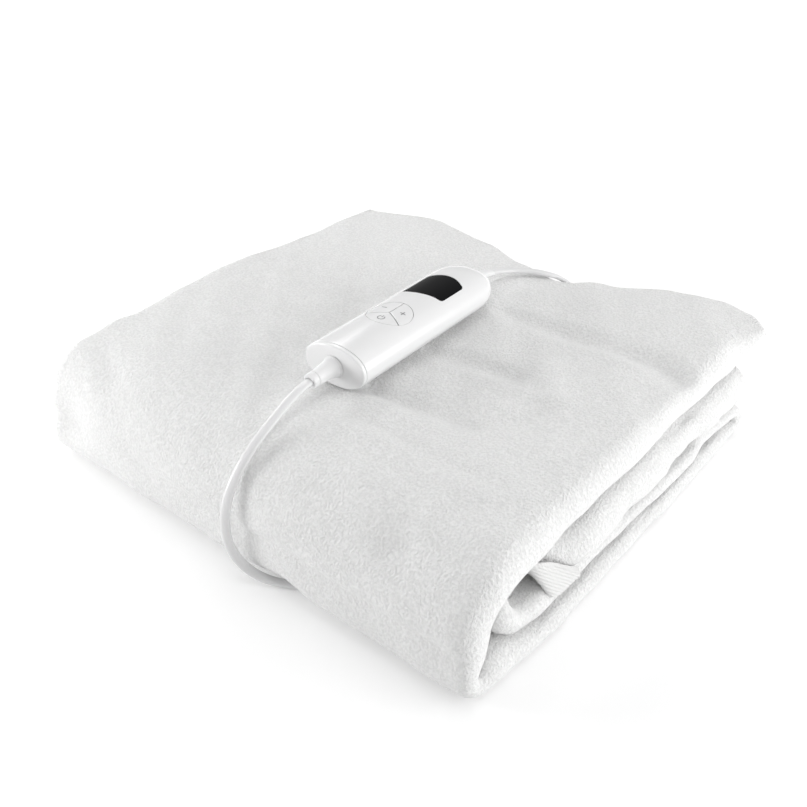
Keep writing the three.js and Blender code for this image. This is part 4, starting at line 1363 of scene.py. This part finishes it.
# %% A helper for shaders
def material(name, colour, roughness, **sockets):
    """A material with one main shader, and the shader and the node tree for the steps that follow."""
    made = bpy.data.materials.new(name)
    made.use_nodes = True
    tree = made.node_tree
    shader = tree.nodes["Principled BSDF"]
    shader.inputs["Base Color"].default_value = (*colour, 1.0)
    shader.inputs["Roughness"].default_value = roughness
    for socket, value in sockets.items():
        shader.inputs[socket].default_value = value
    return made, tree, shader


def own_place(tree):
    """The piece's own coordinates."""
    return tree.nodes.new("ShaderNodeTexCoord").outputs["Object"]


def noise(tree, place, scale, detail=2.0, rough=0.5):
    """The grey of a noise texture of the given size."""
    made = tree.nodes.new("ShaderNodeTexNoise")
    made.inputs["Scale"].default_value = scale
    made.inputs["Detail"].default_value = detail
    made.inputs["Roughness"].default_value = rough
    tree.links.new(place, made.inputs["Vector"])
    return made.outputs["Fac"]


def ramp(tree, value, low, high):
    """A soft step from 0 to 1 as the value goes from low to high."""
    made = tree.nodes.new("ShaderNodeMapRange")
    made.interpolation_type = "SMOOTHSTEP"
    made.inputs["From Min"].default_value = low
    made.inputs["From Max"].default_value = high
    tree.links.new(value, made.inputs["Value"])
    return made.outputs["Result"]


def two_tone(tree, share, first, second):
    """The first colour where the share is 0 and the second where it is 1."""
    made = tree.nodes.new("ShaderNodeMix")
    made.data_type = "RGBA"
    made.inputs["A"].default_value = (*first, 1.0)
    made.inputs["B"].default_value = (*second, 1.0)
    tree.links.new(share, made.inputs["Factor"])
    return made.outputs["Result"]


def bump(tree, height, distance, below=None):
    """A bump as deep as the distance, in metres, laid over another bump where one is given."""
    made = tree.nodes.new("ShaderNodeBump")
    made.inputs["Strength"].default_value = 1.0
    made.inputs["Distance"].default_value = distance
    tree.links.new(height, made.inputs["Height"])
    if below is not None:
        tree.links.new(below, made.inputs["Normal"])
    return made.outputs["Normal"]


def rub(tree, shader, grey, low, high):
    """A roughness between low and high, as the grey goes from 0 to 1."""
    made = tree.nodes.new("ShaderNodeMapRange")
    made.inputs["To Min"].default_value = low
    made.inputs["To Max"].default_value = high
    tree.links.new(grey, made.inputs["Value"])
    tree.links.new(made.outputs["Result"], shader.inputs["Roughness"])


def grained(name, colour, roughness, scale, detail=2.0, depth=None, tones=None, **sockets):
    """A material with one noise: a bump of that depth, a change between the two tones, or both."""
    made, tree, shader = material(name, colour, roughness, **sockets)
    grain = noise(tree, own_place(tree), scale, detail)
    if depth:
        tree.links.new(bump(tree, grain, depth), shader.inputs["Normal"])
    if tones:
        tree.links.new(two_tone(tree, grain, *tones), shader.inputs["Base Color"])
    return made


def dress(made, *pieces):
    """Gives each piece the one material."""
    for piece in pieces:
        piece.data.materials.clear()
        piece.data.materials.append(made)


print("material helpers ready")

# %% [markdown]
# ## Fleece
#
# Fleece is brushed, so its surface is a short nap that has felted into soft grains of a millimetre
# or two. A hair system would be slow and would not export. Layers of noise, from broad mottling
# down to single tufts, give the same look as bump, and a little sheen gives the soft rim.

# %% The fleece and the other cloth
LIGHT_FLEECE = (0.85, 0.85, 0.847)
DARK_FLEECE = (0.75, 0.75, 0.747)
GRAIN_SCALE = (1.0, 0.85, 0.85)

fleece, tree, shader = material("brushed_fleece", (0.8, 0.8, 0.797), 0.95)
shader.inputs["Sheen Weight"].default_value = 0.25
shader.inputs["Sheen Roughness"].default_value = 0.55
shader.inputs["Specular IOR Level"].default_value = 0.2
brushed = tree.nodes.new("ShaderNodeMapping")
brushed.inputs["Scale"].default_value = GRAIN_SCALE
tree.links.new(own_place(tree), brushed.inputs["Vector"])
place = brushed.outputs["Vector"]
grains = noise(tree, place, 700.0, detail=3.0, rough=0.55)
tufts = noise(tree, place, 1900.0, detail=2.0, rough=0.6)
mottle = noise(tree, place, 260.0)
broad = bump(tree, mottle, 0.0005)
coarse = bump(tree, ramp(tree, grains, 0.2, 0.8), 0.0006, below=broad)
fine = bump(tree, tufts, 0.00014, below=coarse)
tree.links.new(fine, shader.inputs["Normal"])
shade = two_tone(tree, ramp(tree, grains, 0.35, 0.65), DARK_FLEECE, LIGHT_FLEECE)
tree.links.new(shade, shader.inputs["Base Color"])
dress(fleece, pad)

yarn_tones = ((0.78, 0.78, 0.775), (0.88, 0.88, 0.875))
yarn = grained("overlock_yarn", (0.84, 0.84, 0.835), 0.8, scale=2600.0, depth=0.0001, tones=yarn_tones)
dress(yarn, thread)

knit_tones = ((0.67, 0.67, 0.665), (0.73, 0.73, 0.725))
knit = grained("knitted_elastic", (0.7, 0.7, 0.695), 0.8, scale=1700.0, depth=0.00018, tones=knit_tones)
dress(knit, strap)
print("cloth materials:", len(bpy.data.materials))

# %% [markdown]
# ## Plastics and metal
#
# The case is moulded with a polish, so its roughness is low and changes only a little where hands
# rub it. The sleeves and the cord are softer plastics with a finer, duller skin.

# %% The plastic and metal materials
gloss, tree, shader = material("polished_white", (0.8, 0.8, 0.802), 0.2)
place = own_place(tree)
rub(tree, shader, noise(tree, place, 45.0, detail=3.0), 0.17, 0.26)
tree.links.new(bump(tree, noise(tree, place, 240.0), 0.00002), shader.inputs["Normal"])
dress(gloss, case_top_half, case_base_half, end_cap, *key_pieces.values())

glass, tree, shader = material("dark_display", (0.004, 0.004, 0.0045), 0.08)
shader.inputs["Specular IOR Level"].default_value = 0.1
rub(tree, shader, noise(tree, own_place(tree), 60.0), 0.06, 0.16)
dress(glass, pane)

ink_tones = ((0.2, 0.2, 0.205), (0.3, 0.3, 0.305))
ink = grained("printed_mark", (0.24, 0.24, 0.245), 0.45, scale=1500.0, tones=ink_tones)
dress(ink, *mark_pieces)

rubber = grained("soft_sleeve", (0.78, 0.78, 0.782), 0.42, scale=1400.0, depth=0.00006)
dress(rubber, near_relief, far_relief)

skin_tones = ((0.725, 0.725, 0.727), (0.755, 0.755, 0.757))
skin = grained("cord_skin", (0.74, 0.74, 0.742), 0.3, scale=900.0, depth=0.00005, tones=skin_tones)
dress(skin, pad_lead, mains_lead, plug_body)

nickel = grained("nickel", (0.66, 0.65, 0.63), 0.24, scale=1200.0, detail=3.0, depth=0.00002, Metallic=1.0)
dress(nickel, *pins)
print("materials:", len(bpy.data.materials))

# %% [markdown]
# ## Floor and light
#
# The floor is a wide pale sheet, and its glow grows away from the object. A soft sky and a wide lamp
# from above fill the shadows. A lamp from the upper left, behind, gives the soft shadow beside the
# control, two low ones light the left and the front left, and two on the right light the rims.

# %% The stage
FLOOR_HALF = 4000.0
FLOOR_Z = -0.2
# from and to how far out in metres, the glow there
FLOOR_GLOW = (0.35, 1.1, 0.14, 0.75)
corners = square(FLOOR_HALF)
floor = add_mesh("floor", np.column_stack([corners, np.full(len(corners), FLOOR_Z)]), [[0, 1, 2, 3]])
paper, tree, shader = material("paper", (0.9, 0.9, 0.9), 0.9)
shader.inputs["Emission Color"].default_value = (1.0, 1.0, 1.0, 1.0)
far_off = tree.nodes.new("ShaderNodeVectorMath")
far_off.operation = "LENGTH"
tree.links.new(own_place(tree), far_off.inputs[0])
glow = tree.nodes.new("ShaderNodeMapRange")
glow.interpolation_type = "SMOOTHSTEP"
for socket, value in zip(("From Min", "From Max", "To Min", "To Max"), FLOOR_GLOW):
    glow.inputs[socket].default_value = value
tree.links.new(far_off.outputs["Value"], glow.inputs["Value"])
tree.links.new(glow.outputs["Result"], shader.inputs["Emission Strength"])
dress(paper, floor)

MIDDLE = (0.0, 0.0, 40.0)
FRONT_LEFT = (-100.0, -175.0, 40.0)
# name, place, target, size, power
LAMPS = [
    ("key_lamp", (-700.0, 500.0, 800.0), MIDDLE, 350.0, 1.66),
    ("top_lamp", (0.0, 100.0, 1500.0), MIDDLE, 1200.0, 7.1),
    ("low_lamp", (-1200.0, 300.0, 350.0), MIDDLE, 500.0, 2.45),
    ("right_back_lamp", (1100.0, 650.0, 350.0), MIDDLE, 800.0, 7.7),
    ("right_lamp", (1300.0, -50.0, 300.0), MIDDLE, 800.0, 4.45),
    ("left_lamp", (-650.0, -600.0, 230.0), FRONT_LEFT, 350.0, 4.15),
]
SKY = 0.42
WHITE = (1.0, 1.0, 1.0, 1.0)


def soft_lamp(name, place, target, size, power):
    """A square area lamp at a place, aimed at a target, all in millimetres."""
    data = bpy.data.lights.new(name, "AREA")
    data.shape = "SQUARE"
    data.size = size * MM
    data.energy = power
    lamp = bpy.data.objects.new(name, data)
    lamp.location = Vector(place) * MM
    way = (Vector(target) - Vector(place)) * MM
    lamp.rotation_euler = way.to_track_quat("-Z", "Y").to_euler()
    bpy.context.scene.collection.objects.link(lamp)


for lamp in LAMPS:
    soft_lamp(*lamp)
world = bpy.data.worlds.new("sky")
world.use_nodes = True
background = world.node_tree.nodes["Background"]
background.inputs["Color"].default_value = WHITE
background.inputs["Strength"].default_value = SKY
bpy.context.scene.world = world
bpy.context.scene.view_settings.view_transform = "Standard"
print("lamps:", len(bpy.data.lights))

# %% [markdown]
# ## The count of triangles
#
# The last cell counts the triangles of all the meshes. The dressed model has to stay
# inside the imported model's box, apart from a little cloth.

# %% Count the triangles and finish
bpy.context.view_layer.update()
meshes = [piece for piece in bpy.data.objects if piece.type == "MESH"]
print("triangles of all meshes:", sum(triangles_in(piece) for piece in meshes))
